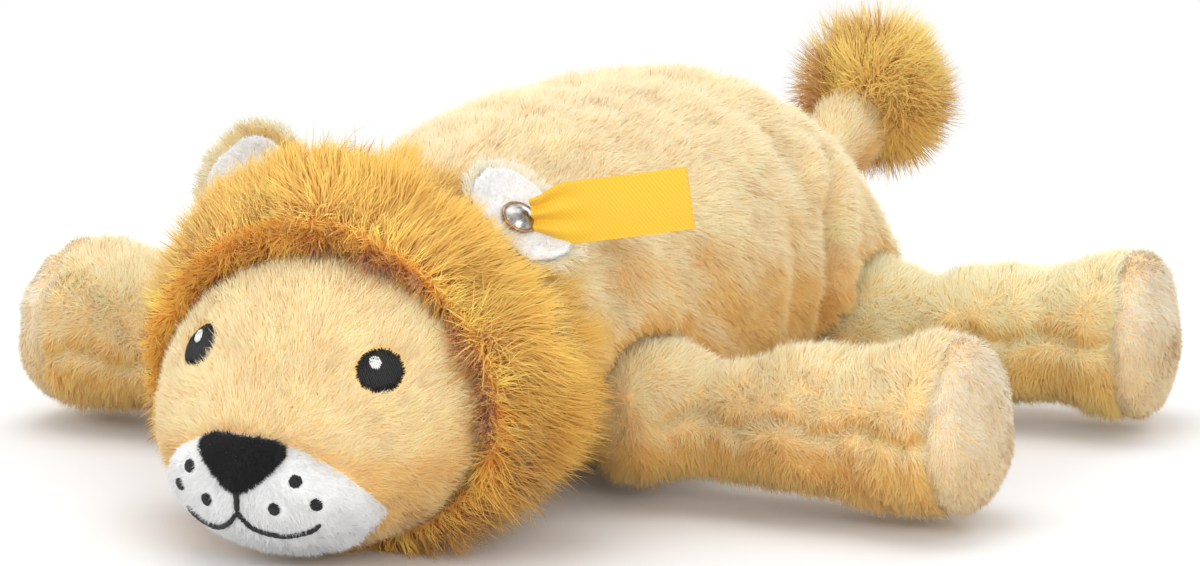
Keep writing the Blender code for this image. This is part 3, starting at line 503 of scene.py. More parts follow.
def ribbon_mesh(name, path, normals, width, root_colour, tip_colour, seed):
    """One tapered ribbon for each strand, with its colours and its own patch of texture."""
    rows, count = len(path) - 1, path.shape[1]
    path[:, :, 2] = np.maximum(path[:, :, 2], FLOOR_ROOM)
    corner_count = 2 * rows + 1
    points = np.empty((count, corner_count, 3))
    facing = np.empty((count, corner_count, 3))
    colours = np.ones((count, corner_count, 4), np.float32)
    loops, starts, uvs = [], [], []
    for row, (one, other, face) in enumerate(strand_rows(path, normals, width, seed)):
        blend = (row / rows) ** 0.8
        for step, place in enumerate([path[row]] if row == rows else [one, other]):
            points[:, 2 * row + step] = place
            facing[:, 2 * row + step] = face
            colours[:, 2 * row + step, :3] = root_colour * (1 - blend) + tip_colour * blend
    for row in range(rows):
        starts.append(len(loops))
        low, high = row / rows, (row + 1) / rows
        at_tip = row == rows - 1
        loops += [2 * row, 2 * row + 1] + ([] if at_tip else [2 * row + 3]) + [2 * row + 2]
        uvs += [(0, low), (1, low)] + ([(0.5, high)] if at_tip else [(1, high), (0, high)])
    strands = np.arange(count, dtype=np.int64)[:, None]
    indices = (strands * corner_count + np.array(loops)).astype(np.int32).ravel()
    begins = (strands * len(loops) + np.array(starts)).astype(np.int32).ravel()
    mesh = bpy.data.meshes.new(name)
    mesh.vertices.add(count * corner_count)
    mesh.loops.add(len(indices))
    mesh.polygons.add(len(begins))
    mesh.vertices.foreach_set("co", points.astype(np.float32).ravel())
    mesh.loops.foreach_set("vertex_index", indices)
    mesh.polygons.foreach_set("loop_start", begins)
    mesh.update(calc_edges=True)
    mesh.shade_smooth()
    paint = mesh.attributes.new("pile_colour", "FLOAT_COLOR", "POINT")
    paint.data.foreach_set("color", colours.ravel())
    cells = min(CELLS, max(int(math.sqrt(count)), 1))
    cell = np.arange(count) * (cells * cells) // count
    corner = np.stack([cell % cells, cell // cells], axis=1) / cells
    patch = corner[:, None, :] + (0.12 + 0.76 * np.array(uvs))[None, :, :] / cells
    layer = mesh.uv_layers.new(name="OFBake")
    layer.uv.foreach_set("vector", patch.astype(np.float32).ravel())
    mesh.normals_split_custom_set_from_vertices(facing.reshape(-1, 3).astype(np.float32))
    return mesh


def at(option, roots, normals):
    return option(roots, normals) if callable(option) else option


def plant(name, body, skin, kind, comb, seed, keep=None, tint=1, lengths=1, avoid=None):
    """A coat of pile on a skin: comb and keep are functions of the roots, tint and lengths are
    that or one value for all, and avoid is true where a strand's tip would cover embroidery."""
    pile = PILES[kind]
    roots, normals = scatter(skin, pile["density"], seed)
    if keep is not None:
        kept = keep(roots, normals)
        roots, normals = roots[kept], normals[kept]
    path = grow(roots, normals, comb(roots, normals), pile, seed + 1,
                at(lengths, roots, normals))
    path, clump = clumped(path, pile, seed + 2)
    if avoid is not None:
        kept = ~(avoid(path[-1]) | avoid((path[0] + path[-1]) / 2))
        path, roots, normals, clump = path[:, kept], roots[kept], normals[kept], clump[kept]
    rng = np.random.default_rng(seed + 3)
    light = 1 + 0.045 * rng.normal(size=len(roots)).clip(-2, 2)
    light *= 1 + 0.035 * rng.normal(size=clump.max() + 1).clip(-2, 2)[clump]
    light *= 1 + 0.03 * wave(roots, 14 * MM, seed + 4)
    light = np.repeat(light[:, None], 3, axis=1)
    # Painted shade: strands on downward-facing skin keep only their pile's keep share of the
    # colours, so they are deeper and more orange below
    down = smoothstep(0.55, -0.35, normals[:, 2])[:, None]
    light *= 1 - down * (1 - np.array(pile["keep"]))
    light = light * at(tint, roots, normals)
    root_colour = np.clip(pile["root"] * light, 0, BRIGHTEST)
    tip_colour = np.clip(pile["tip"] * light, 0, BRIGHTEST)
    width = pile["width"] * MM * rng.uniform(0.75, 1.25, len(roots))
    mesh = ribbon_mesh(name, path, normals, width, root_colour, tip_colour, seed + 5)
    coat = add_object(name, mesh, body)
    mesh.materials.append(MATERIALS["pile_" + kind])
    return coat


# Materials


def feed(tree, node, key, value):
    """Gives a node's input a value, or links another node's output to it."""
    if isinstance(value, bpy.types.NodeSocket):
        tree.links.new(value, node.inputs[key])
    else:
        node.inputs[key].default_value = value


def add_node(tree, kind, inputs=None, **settings):
    node = tree.nodes.new("ShaderNode" + kind)
    for key, value in settings.items():
        setattr(node, key, value)
    for key, value in (inputs or {}).items():
        feed(tree, node, key, value)
    return node


def new_material(name, values):
    material = bpy.data.materials.new(name)
    material.use_nodes = True
    tree = material.node_tree
    shader = tree.nodes["Principled BSDF"]
    for key, value in values.items():
        feed(tree, shader, key, value)
    return material, tree, shader


def object_noise(tree, scale, detail):
    """Fine noise over the object's own place, in features per metre."""
    place = add_node(tree, "TexCoord").outputs["Object"]
    noise = add_node(tree, "TexNoise", {"Scale": scale, "Detail": detail, "Vector": place})
    return noise.outputs["Fac"]


def two_colours(tree, value, dark, pale, low=0.35, high=0.65):
    """A colour between two, by a value."""
    ramp = add_node(tree, "ValToRGB", {"Fac": value})
    for element, colour, position in zip(ramp.color_ramp.elements, (dark, pale), (low, high)):
        element.color = (*colour, 1)
        element.position = position
    return ramp.outputs["Color"]


def add_bump(tree, shader, value, strength, distance):
    bump = add_node(tree, "Bump", {"Strength": strength, "Distance": distance, "Height": value})
    feed(tree, shader, "Normal", bump.outputs["Normal"])


def pile_material(name):
    """The strands' colours, their painted shade and painted light included, with a little
    unevenness along them.
    """
    material, tree, shader = new_material(name, {
        "Roughness": 0.8, "Specular IOR Level": 0.25, "Sheen Weight": 0.3,
        "Sheen Roughness": 0.5})
    paint = add_node(tree, "Attribute", attribute_name="pile_colour")
    mix = add_node(tree, "Mix", {"Factor": 0.10, "A": paint.outputs["Color"],
                                 "B": object_noise(tree, 500, 2)},
                   data_type="RGBA", blend_type="OVERLAY")
    feed(tree, shader, "Base Color", mix.outputs["Result"])
    return material


def cloth_material(name, dark, pale, scale, bump, roughness=0.9, sheen=0.2):
    """A knitted backing or a thread: a fine even grain between two colours."""
    material, tree, shader = new_material(name, {"Roughness": roughness, "Sheen Weight": sheen})
    noise = object_noise(tree, scale, 6)
    feed(tree, shader, "Base Color", two_colours(tree, noise, dark, pale))
    add_bump(tree, shader, noise, bump, 0.4 * MM)
    return material


def metal_material(name, dark, pale, low, high):
    """Pressed metal, slightly mottled, with handling marks in its polish."""
    material, tree, shader = new_material(name, {"Metallic": 1.0})
    noise = object_noise(tree, 600, 5)
    feed(tree, shader, "Base Color", two_colours(tree, noise, dark, pale))
    polish = add_node(tree, "MapRange", {"To Min": low, "To Max": high, "Value": noise})
    feed(tree, shader, "Roughness", polish.outputs["Result"])
    add_bump(tree, shader, noise, 0.12, 0.2 * MM)
    return material


def ribbon_material():
    """Woven tape: a fine twill that crosses it slantwise, and threads across the slant."""
    material, tree, shader = new_material("ribbon_weave",
                                          {"Roughness": 0.5, "Sheen Weight": 0.25})
    place = add_node(tree, "TexCoord").outputs["Object"]
    weave = add_node(tree, "Math", {2: 0.3}, operation="MULTIPLY_ADD")
    for index, (slant, scale) in enumerate(((38, 480), (-52, 900))):
        mapping = add_node(tree, "Mapping", {"Rotation": (0, math.radians(slant), 0),
                                             "Vector": place})
        band = add_node(tree, "TexWave", {"Scale": scale, "Distortion": 0.5, "Detail": 1,
                                          "Vector": mapping.outputs["Vector"]},
                        bands_direction="X")
        feed(tree, weave, index, band.outputs["Fac"])
    weave = weave.outputs["Value"]
    colour = two_colours(tree, weave, srgb(241, 183, 30), srgb(252, 208, 58), 0.2, 0.9)
    feed(tree, shader, "Base Color", colour)
    add_bump(tree, shader, weave, 0.30, 0.15 * MM)
    return material


METALS = (("button_metal", (0.20, 0.19, 0.18), (0.50, 0.48, 0.46), 0.16, 0.36),
          ("button_rim", (0.24, 0.13, 0.07), (0.50, 0.31, 0.19), 0.20, 0.40))
THREADS = (("black_thread", srgb(3, 3, 4), srgb(15, 15, 17)),
           ("glint_thread", srgb(226, 226, 222), srgb(250, 250, 247)))


def make_materials():
    made = {}
    for kind, pile in PILES.items():
        made["pile_" + kind] = pile_material("pile_" + kind)
        made["backing_" + kind] = cloth_material(
            "backing_" + kind, pile["root"] * 0.85, pile["root"] * 1.10, 1500, 0.4)
    for kind, *values in METALS:
        made[kind] = metal_material(kind, *values)
    made["ribbon"] = ribbon_material()
    for kind, dark, pale in THREADS:
        made[kind] = cloth_material(kind, dark, pale, 2500, 0.8, 0.5, 0.0)
    return made


MATERIALS = make_materials()


# Studio


def aimed(name, data, place, target):
    """An object for a camera or a lamp that looks from a place at a target."""
    made = linked(name, data)
    made.location = place
    made.rotation_euler = (Vector(target) - Vector(place)).to_track_quat("-Z", "Y").to_euler()
    return made


def make_camera():
    turn, rise = math.radians(VIEW_AZIMUTH), math.radians(VIEW_ELEVATION)
    back = Vector((math.sin(turn) * math.cos(rise), -math.cos(turn) * math.cos(rise),
                   math.sin(rise)))
    data = bpy.data.cameras.new("camera")
    data.sensor_width = SENSOR
    data.lens = SENSOR * PIXELS_PER_METRE * VIEW_DISTANCE / IMAGE_WIDTH
    data.clip_start, data.clip_end = 0.05, 20
    bpy.context.scene.camera = aimed("camera", data, VIEW_TARGET + back * VIEW_DISTANCE,
                                     VIEW_TARGET)


def area_light(name, place, size, power):
    data = bpy.data.lights.new(name, "AREA")
    data.shape, data.size, data.energy = "DISK", size, power
    aimed(name, data, place, LIGHT_TARGET)


def camera_or_gloss(tree):
    """1 for what the camera or a reflection sees, 0 for light that falls on the lion."""
    rays = add_node(tree, "LightPath").outputs
    seen = add_node(tree, "Math", {0: rays["Is Camera Ray"], 1: rays["Is Glossy Ray"]},
                    operation="MAXIMUM")
    return seen.outputs["Value"]


def mix_shaders(tree, share, one, other, end):
    """Sends a mix of two shaders to a material's or the world's output."""
    mix = add_node(tree, "MixShader", {"Fac": share, 1: one, 2: other})
    feed(tree, tree.nodes[end], "Surface", mix.outputs["Shader"])


def make_world():
    world = bpy.data.worlds.new("studio")
    bpy.context.scene.world = world
    world.use_nodes = True
    tree = world.node_tree
    light = tree.nodes["Background"]
    feed(tree, light, "Color", (1, 1, 1, 1))
    feed(tree, light, "Strength", WORLD_LIGHT)
    white = add_node(tree, "Background", {"Color": (1, 1, 1, 1)})
    mix_shaders(tree, camera_or_gloss(tree), light.outputs["Background"],
                white.outputs["Background"], "World Output")


def make_floor():
    """A plain pale floor that takes the shadow and goes over into white further off. It sends
    only a part of the light back up, so that the lion's lower sides keep their shade."""
    half = FLOOR_HALF
    mesh = bpy.data.meshes.new("floor")
    corners = [(-half, -half, 0), (half, -half, 0), (half, half, 0), (-half, half, 0)]
    mesh.from_pydata(corners, [], [(0, 1, 2, 3)])
    material, tree, shader = new_material("floor", {"Roughness": 0.9,
                                                    "Specular IOR Level": 0.1})
    seen = camera_or_gloss(tree)
    feed(tree, shader, "Base Color",
         two_colours(tree, seen, (FLOOR_BOUNCE,) * 3, (FLOOR_COLOUR,) * 3, 0.0, 1.0))
    place = add_node(tree, "TexCoord")
    length = add_node(tree, "VectorMath", {0: place.outputs["Object"]}, operation="LENGTH")
    fade = add_node(tree, "MapRange", {"From Min": FLOOR_FADE[0], "From Max": FLOOR_FADE[1],
                                       "Value": length.outputs["Value"]})
    share = add_node(tree, "Math", {0: fade.outputs["Result"], 1: seen}, operation="MULTIPLY")
    white = add_node(tree, "Emission")
    mix_shaders(tree, share.outputs["Value"], shader.outputs["BSDF"],
                white.outputs["Emission"], "Material Output")
    mesh.materials.append(material)
    linked("floor", mesh)


def make_studio():
    bpy.context.scene.view_settings.view_transform = "Standard"
    make_camera()
    make_world()
    for name, (place, size, power) in LIGHTS.items():
        area_light(name, place, size, power)
    make_floor()


# Skins and coats


def show_skin(name, mesh, body, kind, replaced):
    skin = add_object(name, mesh, body)
    mesh.shade_smooth()
    mesh.materials.clear()
    mesh.materials.append(MATERIALS["backing_" + kind])
    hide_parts(*replaced)


def away_from_floor(roots, normals):
    """Most of the pile under the lion is pressed flat, so only some of it is planted."""
    rng = np.random.default_rng(5)
    under = (normals[:, 2] < -0.6) & (roots[:, 2] < 6 * MM)
    return ~under | (rng.random(len(roots)) < 0.2)


def brushed(way, roots, size, amount, seed):
    """A direction with the wandering of pile that hands have brushed."""
    drift = [wave(roots, size * MM, seed + axis) for axis in range(3)]
    return way + amount * np.stack(drift, axis=1)


def dress_torso():
    nodes = ["back_panel_left", "back_panel_right", "belly_panel", "torso_stuffing"]
    mesh = skin_mesh(nodes, TORSO_VOXEL, 5, roots=LEGS)
    for line, depth, width, ridge in TORSO_FOLDS:
        for sign in (1, -1):
            crease(mesh, [(sign * x, y, z) for x, y, z in line], depth, width, ridge)
    for place, size, depth in TORSO_SWELLS:
        points = points_of(mesh)
        points[:, 0] = np.abs(points[:, 0])
        far = norm((points - np.array(place) * MM) / (np.array(size) * MM))
        press(mesh, depth * MM * np.exp(-far ** 2))
    lumps(mesh, 0.6 * MM, 36 * MM, 11)
    lumps(mesh, 0.22 * MM, 9 * MM, 12)
    show_skin("torso_skin", mesh, "torso", "cream", nodes)

    def comb(roots, normals):
        way = np.tile([0.0, 1.0, 0.0], (len(roots), 1))
        side = smoothstep(0.2, 0.9, np.abs(normals[:, 0]))
        way[:, 2] -= 1.1 * side
        way[:, 0] += 0.35 * np.sign(roots[:, 0]) * (1 - side)
        return brushed(way, roots, 18, 0.40, 21)

    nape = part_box("mane_panel")[1][1] - 1.5 * MM
    bands = (nape, nape + 50 * MM, nape + 95 * MM, 1.0)
    for part, (start, end) in enumerate(zip(bands, bands[1:])):
        for word, sign in SIDES:
            def keep(roots, normals):
                here = (roots[:, 1] >= start) & (roots[:, 1] < end)
                return away_from_floor(roots, normals) & here & (roots[:, 0] * sign >= 0)

            plant(f"torso_pile_{word}_{part + 1}", "torso", mesh, "cream", comb,
                  100 + 10 * part + sign, keep=keep,
                  lengths=lambda roots, normals: 1 + 0.14 * wave(roots, 8 * MM, 25))


def limb_axis(body):
    """The root and direction of a leg, from its joint to its sole."""
    root = np.array(JOINTS[body])
    way = middle_of(body + "_sole") - root
    return root, way / np.linalg.norm(way)


def shape_leg(mesh, root, way, seam, seed):
    """Puckered seams along both sides and round the sole, and folds across the leg."""
    points = points_of(mesh)
    side = np.cross(way, [0, 0, 1])
    side /= np.linalg.norm(side)
    up = np.cross(side, way)
    offset = points - root
    along, level, across = offset @ way, offset @ up, offset @ side
    depth = 1.5 * MM * bell(along - seam - 0.6 * MM * wave(points, 9 * MM, seed), 1.5 * MM)
    for share, fold, width, slant in LEG_FOLDS:
        place = share * seam + slant * level + 2.5 * MM * wave(points, 25 * MM, seed + 5)
        depth += fold * MM * bell(along - place, width * MM) * (
            0.7 + 0.4 * wave(points, 22 * MM, seed + 6))
    shaft = smoothstep(4 * MM, 9 * MM, along) * (along < seam)
    line = level - 1.2 * MM * np.sin(along * 2 * math.pi / (19 * MM) + seed)
    line -= 2.0 * MM * np.sign(across)
    depth += 1.5 * MM * bell(line, 1.9 * MM) * shaft
    depth += 0.30 * MM * np.sin(along * 2 * math.pi / (7.5 * MM)) * bell(line, 7 * MM) * shaft
    press(mesh, depth)


def dress_leg(body, seed):
    nodes = [body + part for part in ("_upper_panel", "_lower_panel", "_sole", "_stuffing")]
    mesh = skin_mesh(nodes, LEG_VOXEL, 3, roots=[body])
    lumps(mesh, 0.5 * MM, 24 * MM, seed)
    lumps(mesh, 0.16 * MM, 8 * MM, seed + 1)
    root, way = limb_axis(body)
    seam = max((points_of(mesh) - root) @ way) - SOLE_LENGTH
    shape_leg(mesh, root, way, seam, seed)
    show_skin(body + "_skin", mesh, body, "cream", [nodes[0], nodes[1], nodes[3]])

    def comb(roots, normals):
        flow = np.tile(0.3 * way + np.array([0.0, 0.9, 0.0]), (len(roots), 1))
        flow[:, 2] -= 0.8 * (1 - np.abs(normals[:, 2]))
        return brushed(flow, roots, 16, 0.35, seed + 1)

    def on_shaft(roots, normals):
        run = (roots - root) @ way
        return away_from_floor(roots, normals) & (run > -12 * MM) & (run < seam)

    def shaft_lengths(roots, normals):
        run = (roots - root) @ way
        return (1 + 0.35 * smoothstep(7 * MM, -3 * MM, run)) * (
            1 + 0.10 * wave(roots, 8 * MM, seed + 7))

    def sole_comb(roots, normals):
        return brushed(0.35 * way - (0, 0, 1), roots, 14, 0.3, seed + 3)

    # Painted light: the legs' pile is lightened, the hind legs most, to lift the shade on their
    # sides
    painted_lift = np.array([1.05, 1.14, 1.16] if body.startswith("hind") else [1.02, 1.04, 1.04])
    plant(body + "_pile", body, mesh, "cream", comb, seed + 10, keep=on_shaft,
          lengths=shaft_lengths, tint=painted_lift)
    sole = plant(body + "_sole_pile", body, mesh, "sole", sole_comb, seed + 20,
                 keep=lambda roots, normals: away_from_floor(roots, normals) & (
                     (roots - root) @ way >= seam))
    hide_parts(body + "_sole")


def dress_tail():
    nodes = ["tail_skin", "tail_stuffing"]
    mesh = skin_mesh(nodes, TAIL_VOXEL, 5, puff=False)
    root = np.array(JOINTS["tail"])
    middle = middle_of("tail_tuft")
    reach = np.linalg.norm(middle - root)
    way = (middle - root) / reach
    run = (points_of(mesh) - root) @ way
    press(mesh, -3.0 * MM * smoothstep(0.15 * reach, 0.75 * reach, run))
    show_skin("tail_backing", mesh, "tail", "cream", nodes)

    def comb(roots, normals):
        return brushed(way, roots, 9, 0.3, 31)

    plant("tail_pile", "tail", mesh, "cream", comb, 300,
          keep=lambda roots, normals: (roots - root) @ way > -3 * MM)
    tuft = skin_mesh(["tail_tuft"], TUFT_VOXEL, 6, room=0, puff=False)
    points = points_of(tuft)
    core = middle - way * 2 * MM
    move_points(tuft, core + (points - core) * TUFT_CORE)
    show_skin("tail_tuft_core", tuft, "tail", "tuft", ["tail_tuft"])

    def tuft_comb(roots, normals):
        flow = unit(roots - core) + 0.15 * way + np.array([0, 0, -0.10])
        return brushed(flow, roots, 12, 0.45, 41)

    def tuft_lengths(roots, normals):
        towards_tail = smoothstep(-0.35, -0.80, unit(roots - core) @ way)
        return (0.96 + 0.15 * wave(roots, 9 * MM, 43)) * (1 - 0.45 * towards_tail)

    plant("tail_tuft_pile", "tail", tuft, "tuft", tuft_comb, 310, lengths=tuft_lengths)


# Embroidery


def drape(points, surface, lift):
    """Points dropped on a surface and raised above it again, by one lift or one for each."""
    placed = []
    for point, height in zip(points, np.broadcast_to(lift, len(points))):
        near, normal, _, _ = surface.find_nearest(Vector(point))
        placed.append(near + normal * float(height))
    return placed


def spot_axes(surface, centre):
    """The place on a surface nearest to a point, its normal, and the ways across and up."""
    near, normal, _, _ = surface.find_nearest(Vector(centre) * MM)
    across = Vector((0, 0, 1)).cross(normal).normalized()
    return near, normal, across, normal.cross(across)


def tube(body, path, radii):
    """Adds a closed tube through points to a bmesh."""
    rings = []
    for index, point in enumerate(path):
        ahead = path[min(index + 1, len(path) - 1)] - path[max(index - 1, 0)]
        side = ahead.normalized().orthogonal().normalized()
        third = ahead.normalized().cross(side)
        rings.append(ring(body, point, side, third, radii[index], THREAD_SIDES))
    add_faces(body, rings)


def stitched(name, strands, material):
    """One piece from many threads, each given as (points, radii)."""
    body = bmesh.new()
    for path, radii in strands:
        tube(body, path, radii)
    piece = add_object(name, mesh_of(name, body, material), "head")
    return piece


def satin_disc(surface, centre, radii, pitch, height, slant, seed):
    """Threads side by side that fill an oval, a little domed, with uneven ends."""
    rng = np.random.default_rng(seed)
    near, normal, across, up = spot_axes(surface, centre)
    turn = Matrix.Rotation(math.radians(slant), 3, normal)
    along, beside = turn @ up, turn @ across
    strands = []
    wide, tall = radii
    count = max(int(2 * wide / pitch), 3)
    for index in range(count):
        offset = wide * (2 * (index + 0.5) / count - 1)
        reach = tall * math.sqrt(max(1 - (offset / wide) ** 2, 0.02))
        ends = reach + rng.uniform(-0.05, 0.09, 2) * tall
        shares = np.linspace(-1, 1, 9)
        path, lift = [], []
        for share in shares:
            run = share * (ends[1] if share > 0 else ends[0])
            round_off = max(1 - (offset / wide) ** 2 - (run / (tall * 1.12)) ** 2, 0.0)
            path.append(near + (beside * offset + along * run) * MM)
            lift.append((0.15 + height * round_off ** 0.5) * MM)
        thick = pitch * 0.62 * MM * rng.uniform(0.9, 1.1)
        thread = [thick * (0.45 if abs(share) == 1 else 1.0) for share in shares]
        strands.append((drape(path, surface, lift), thread))
    return strands


def satin_border(surface, centre, radius, pitch, seed):
    """Short threads across the edge of a disc, with ragged outer ends."""
    rng = np.random.default_rng(seed)
    near, _, across, up = spot_axes(surface, centre)
    strands = []
    count = int(2 * math.pi * radius / pitch)
    for index in range(count):
        turn = 2 * math.pi * (index + rng.uniform(-0.3, 0.3)) / count
        lean = turn + 0.14
        path, lift = [], []
        reach = radius * (1 + rng.uniform(-0.02, 0.10))
        for share in (0.0, 0.35, 0.7, 1.0):
            run = radius * 0.55 * (1 - share) + reach * share
            angle = turn * (1 - share) + lean * share
            path.append(near + (across * math.cos(angle) + up * math.sin(angle)) * run * MM)
            lift.append((0.55 - 0.40 * share ** 2) * MM)
        thick = pitch * 0.60 * MM
        strands.append((drape(path, surface, lift), [thick, thick, thick, thick * 0.35]))
    return strands


def smooth_line(points, step):
    """Points a short step apart along a smooth curve through a line's points."""
    points = [Vector(point) * MM for point in points]
    padded = [points[0] * 2 - points[1]] + points + [points[-1] * 2 - points[-2]]
    made = []
    for a, b, c, d in zip(padded, padded[1:], padded[2:], padded[3:]):
        count = max(int((c - b).length / step), 1)
        for index in range(count):
            t = index / count
            made.append(0.5 * (2 * b + (c - a) * t + (2 * a - 5 * b + 4 * c - d) * t ** 2
                               + (3 * b - a - 3 * c + d) * t ** 3))
    return made + [points[-1]]


def stitched_line(surface, line, radius):
    """A thread in short stitches, each a little thicker in its middle."""
    path = drape(smooth_line(line, 0.3 * MM), surface, 0.85 * radius * MM)
    radii = []
    for index in range(len(path)):
        swell = 0.84 + 0.16 * abs(math.sin(index * 0.3 * math.pi / 1.5))
        end = min(index, len(path) - 1 - index)
        radii.append(radius * MM * swell * min(1.0, 0.55 + 0.15 * end))
    return path, radii


def near_threads(strands, room):
    """A test for places so close to threads that pile there would cover them."""
    tree = tree_of([point for path, _ in strands for point in path])

    def covered(places):
        return np.array([tree.find(place)[2] < room for place in places], bool)
    return covered


def embroider(surface):
    """Eyes, glints, whisker dots and the mouth's line, sewn on the head's skin."""
    for index, (eye, centre) in enumerate(EYES.items()):
        strands = satin_disc(surface, centre, (EYE_RADIUS * 0.93, EYE_RADIUS * 0.93), 0.42,
                             1.0, 25, 801 + index)
        strands += satin_border(surface, centre, EYE_RADIUS, 0.36, 811 + index)
        piece = stitched(eye + "_thread", strands, "black_thread")
        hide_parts(eye)
        near, normal, across, up = spot_axes(surface, centre)
        spot = near + (across * GLINT_OFFSET[0] + up * GLINT_OFFSET[1]) * MM
        glint = satin_disc(surface, spot / MM, GLINT_RADII, 0.34, 0.25, 30, 821 + index)
        raised = [([point + normal * 1.05 * MM for point in path], radii)
                  for path, radii in glint]
        stitched(eye + "_glint", raised, "glint_thread")
    dots = []
    for index, (x, y, z) in enumerate(WHISKER_DOTS):
        for side, place in enumerate(((x, y, z), (-x, y, z))):
            dots += satin_disc(surface, place, (DOT_RADIUS, DOT_RADIUS), 0.42, 0.45,
                               20 + 50 * index, 831 + 2 * index + side)
    stitched("whisker_dots", dots, "black_thread")
    mouth = [stitched_line(surface, line, THREAD_RADIUS * thick)
             for line, thick in ((MOUTH_STEM, 1.15), (MOUTH_LEFT, 1), (MOUTH_RIGHT, 1))]
    stitched("mouth_line", mouth, "black_thread")
    by_threads = near_threads(dots + mouth, THREAD_ROOM)
    middles = drape([Vector(centre) * MM for centre in EYES.values()], surface, 0.5 * MM)

    def covered(places):
        by_eyes = [norm(places - np.array(eye)) < EYE_ROOM for eye in middles]
        return by_threads(places) | by_eyes[0] | by_eyes[1]
    return covered


# Head


def muzzle_share(points):
    """Below 1 inside the muzzle's outline as seen from the front."""
    low, high = (np.array(corner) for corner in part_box("muzzle_panel"))
    middle = (low + high) / 2
    half = (high - low) / 2
    return np.sqrt(((points[:, 0] - middle[0]) / half[0]) ** 2
                   + ((points[:, 2] - middle[2] - 0.5 * MM) / (half[2] + 0.8 * MM)) ** 2)


def shape_head(mesh):
    """The muzzle's seam and cheeks, and the hollows that the eyes are sewn down in."""
    points = points_of(mesh)
    share = muzzle_share(points)
    front = points[:, 1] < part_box("muzzle_panel")[1][1]
    depth = 0.9 * MM * bell(share - 1.0, 0.06) * front
    depth -= 0.8 * MM * smoothstep(1.0, 0.86, share) * front
    stem = np.array(MOUTH_STEM) * MM
    distance, _ = line_distance(points, stem)
    depth += 0.9 * MM * bell(distance, 2.2 * MM)
    for centre in EYES.values():
        distance = norm(points - np.array(centre) * MM)
        depth += 0.8 * MM * bell(distance, 5.5 * MM)
    press(mesh, depth)


def dress_nose(skin_surface):
    """The nose's shield of black pile, let down into the pile around it."""
    mesh = applied(NODES["nose"].data.copy(), [remesh(NOSE_VOXEL), soften(6)])
    points = points_of(mesh)
    heights = []
    for point in points:
        near, normal, _, _ = skin_surface.find_nearest(Vector(point))
        heights.append((Vector(point) - near).dot(normal))
    points[:, 1] += max(float(np.median(heights)) - 0.9 * MM, 0.0)
    middle = (points.min(axis=0) + points.max(axis=0)) / 2
    points = middle + (points - middle) * np.array([0.93, 1.0, 0.90])
    move_points(mesh, points)
    show_skin("nose_backing", mesh, "head", "black", ["nose"])

    def comb(roots, normals):
        return unit(roots - middle) + np.array([0, 0, -0.4])

    plant("nose_pile", "head", mesh, "black", comb, 430)
    shield = surface_of(mesh)
    return lambda places: np.array(
        [shield.find_nearest(Vector(place), NOSE_MARGIN)[0] is not None for place in places],
        bool)


def dress_head():
    nodes = ["face_panel", "muzzle_panel", "head_stuffing", "head_back_panel"]
    mesh = skin_mesh(nodes, HEAD_VOXEL, 3)
    shape_head(mesh)
    lumps(mesh, 0.20 * MM, 9 * MM, 50)
    show_skin("head_skin", mesh, "head", "face", [nodes[0], nodes[2], nodes[3]])
    muzzle_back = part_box("muzzle_panel")[1][1]

    def on_muzzle(points):
        return (muzzle_share(points) < 1.0) & (points[:, 1] < muzzle_back)

    mesh.materials.append(MATERIALS["backing_white"])
    white = on_muzzle(points_of(mesh))
    for face in mesh.polygons:
        face.material_index = int(all(white[corner] for corner in face.vertices))
    surface = surface_of(mesh)
    by_threads = embroider(surface)
    by_nose = dress_nose(surface)

    def covered(places):
        return by_threads(places) | by_nose(places)

    nose = middle_of("nose")
    face_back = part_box("face_panel")[1][1]

    def on_face(roots, normals):
        return away_from_floor(roots, normals) & ~on_muzzle(roots) & ~covered(roots) & (
            roots[:, 1] < face_back + 7 * MM)

    def comb(roots, normals):
        flow = unit(roots - (nose + np.array([0, -4 * MM, 4 * MM])))
        flow[:, 2] += 0.25
        return brushed(flow, roots, 15, 0.35, 51)

    plant("face_pile", "head", mesh, "face", comb, 400, keep=on_face, avoid=covered)

    def muzzle_comb(roots, normals):
        flow = roots - (nose + np.array([0, 0, 2 * MM]))
        flow[:, 2] -= 4 * MM
        return brushed(unit(flow), roots, 8, 0.25, 53)

    muzzle = plant("muzzle_pile", "head", mesh, "white", muzzle_comb, 410, avoid=covered,
                   keep=lambda roots, normals: on_muzzle(roots) & ~covered(roots))
    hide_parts("muzzle_panel")


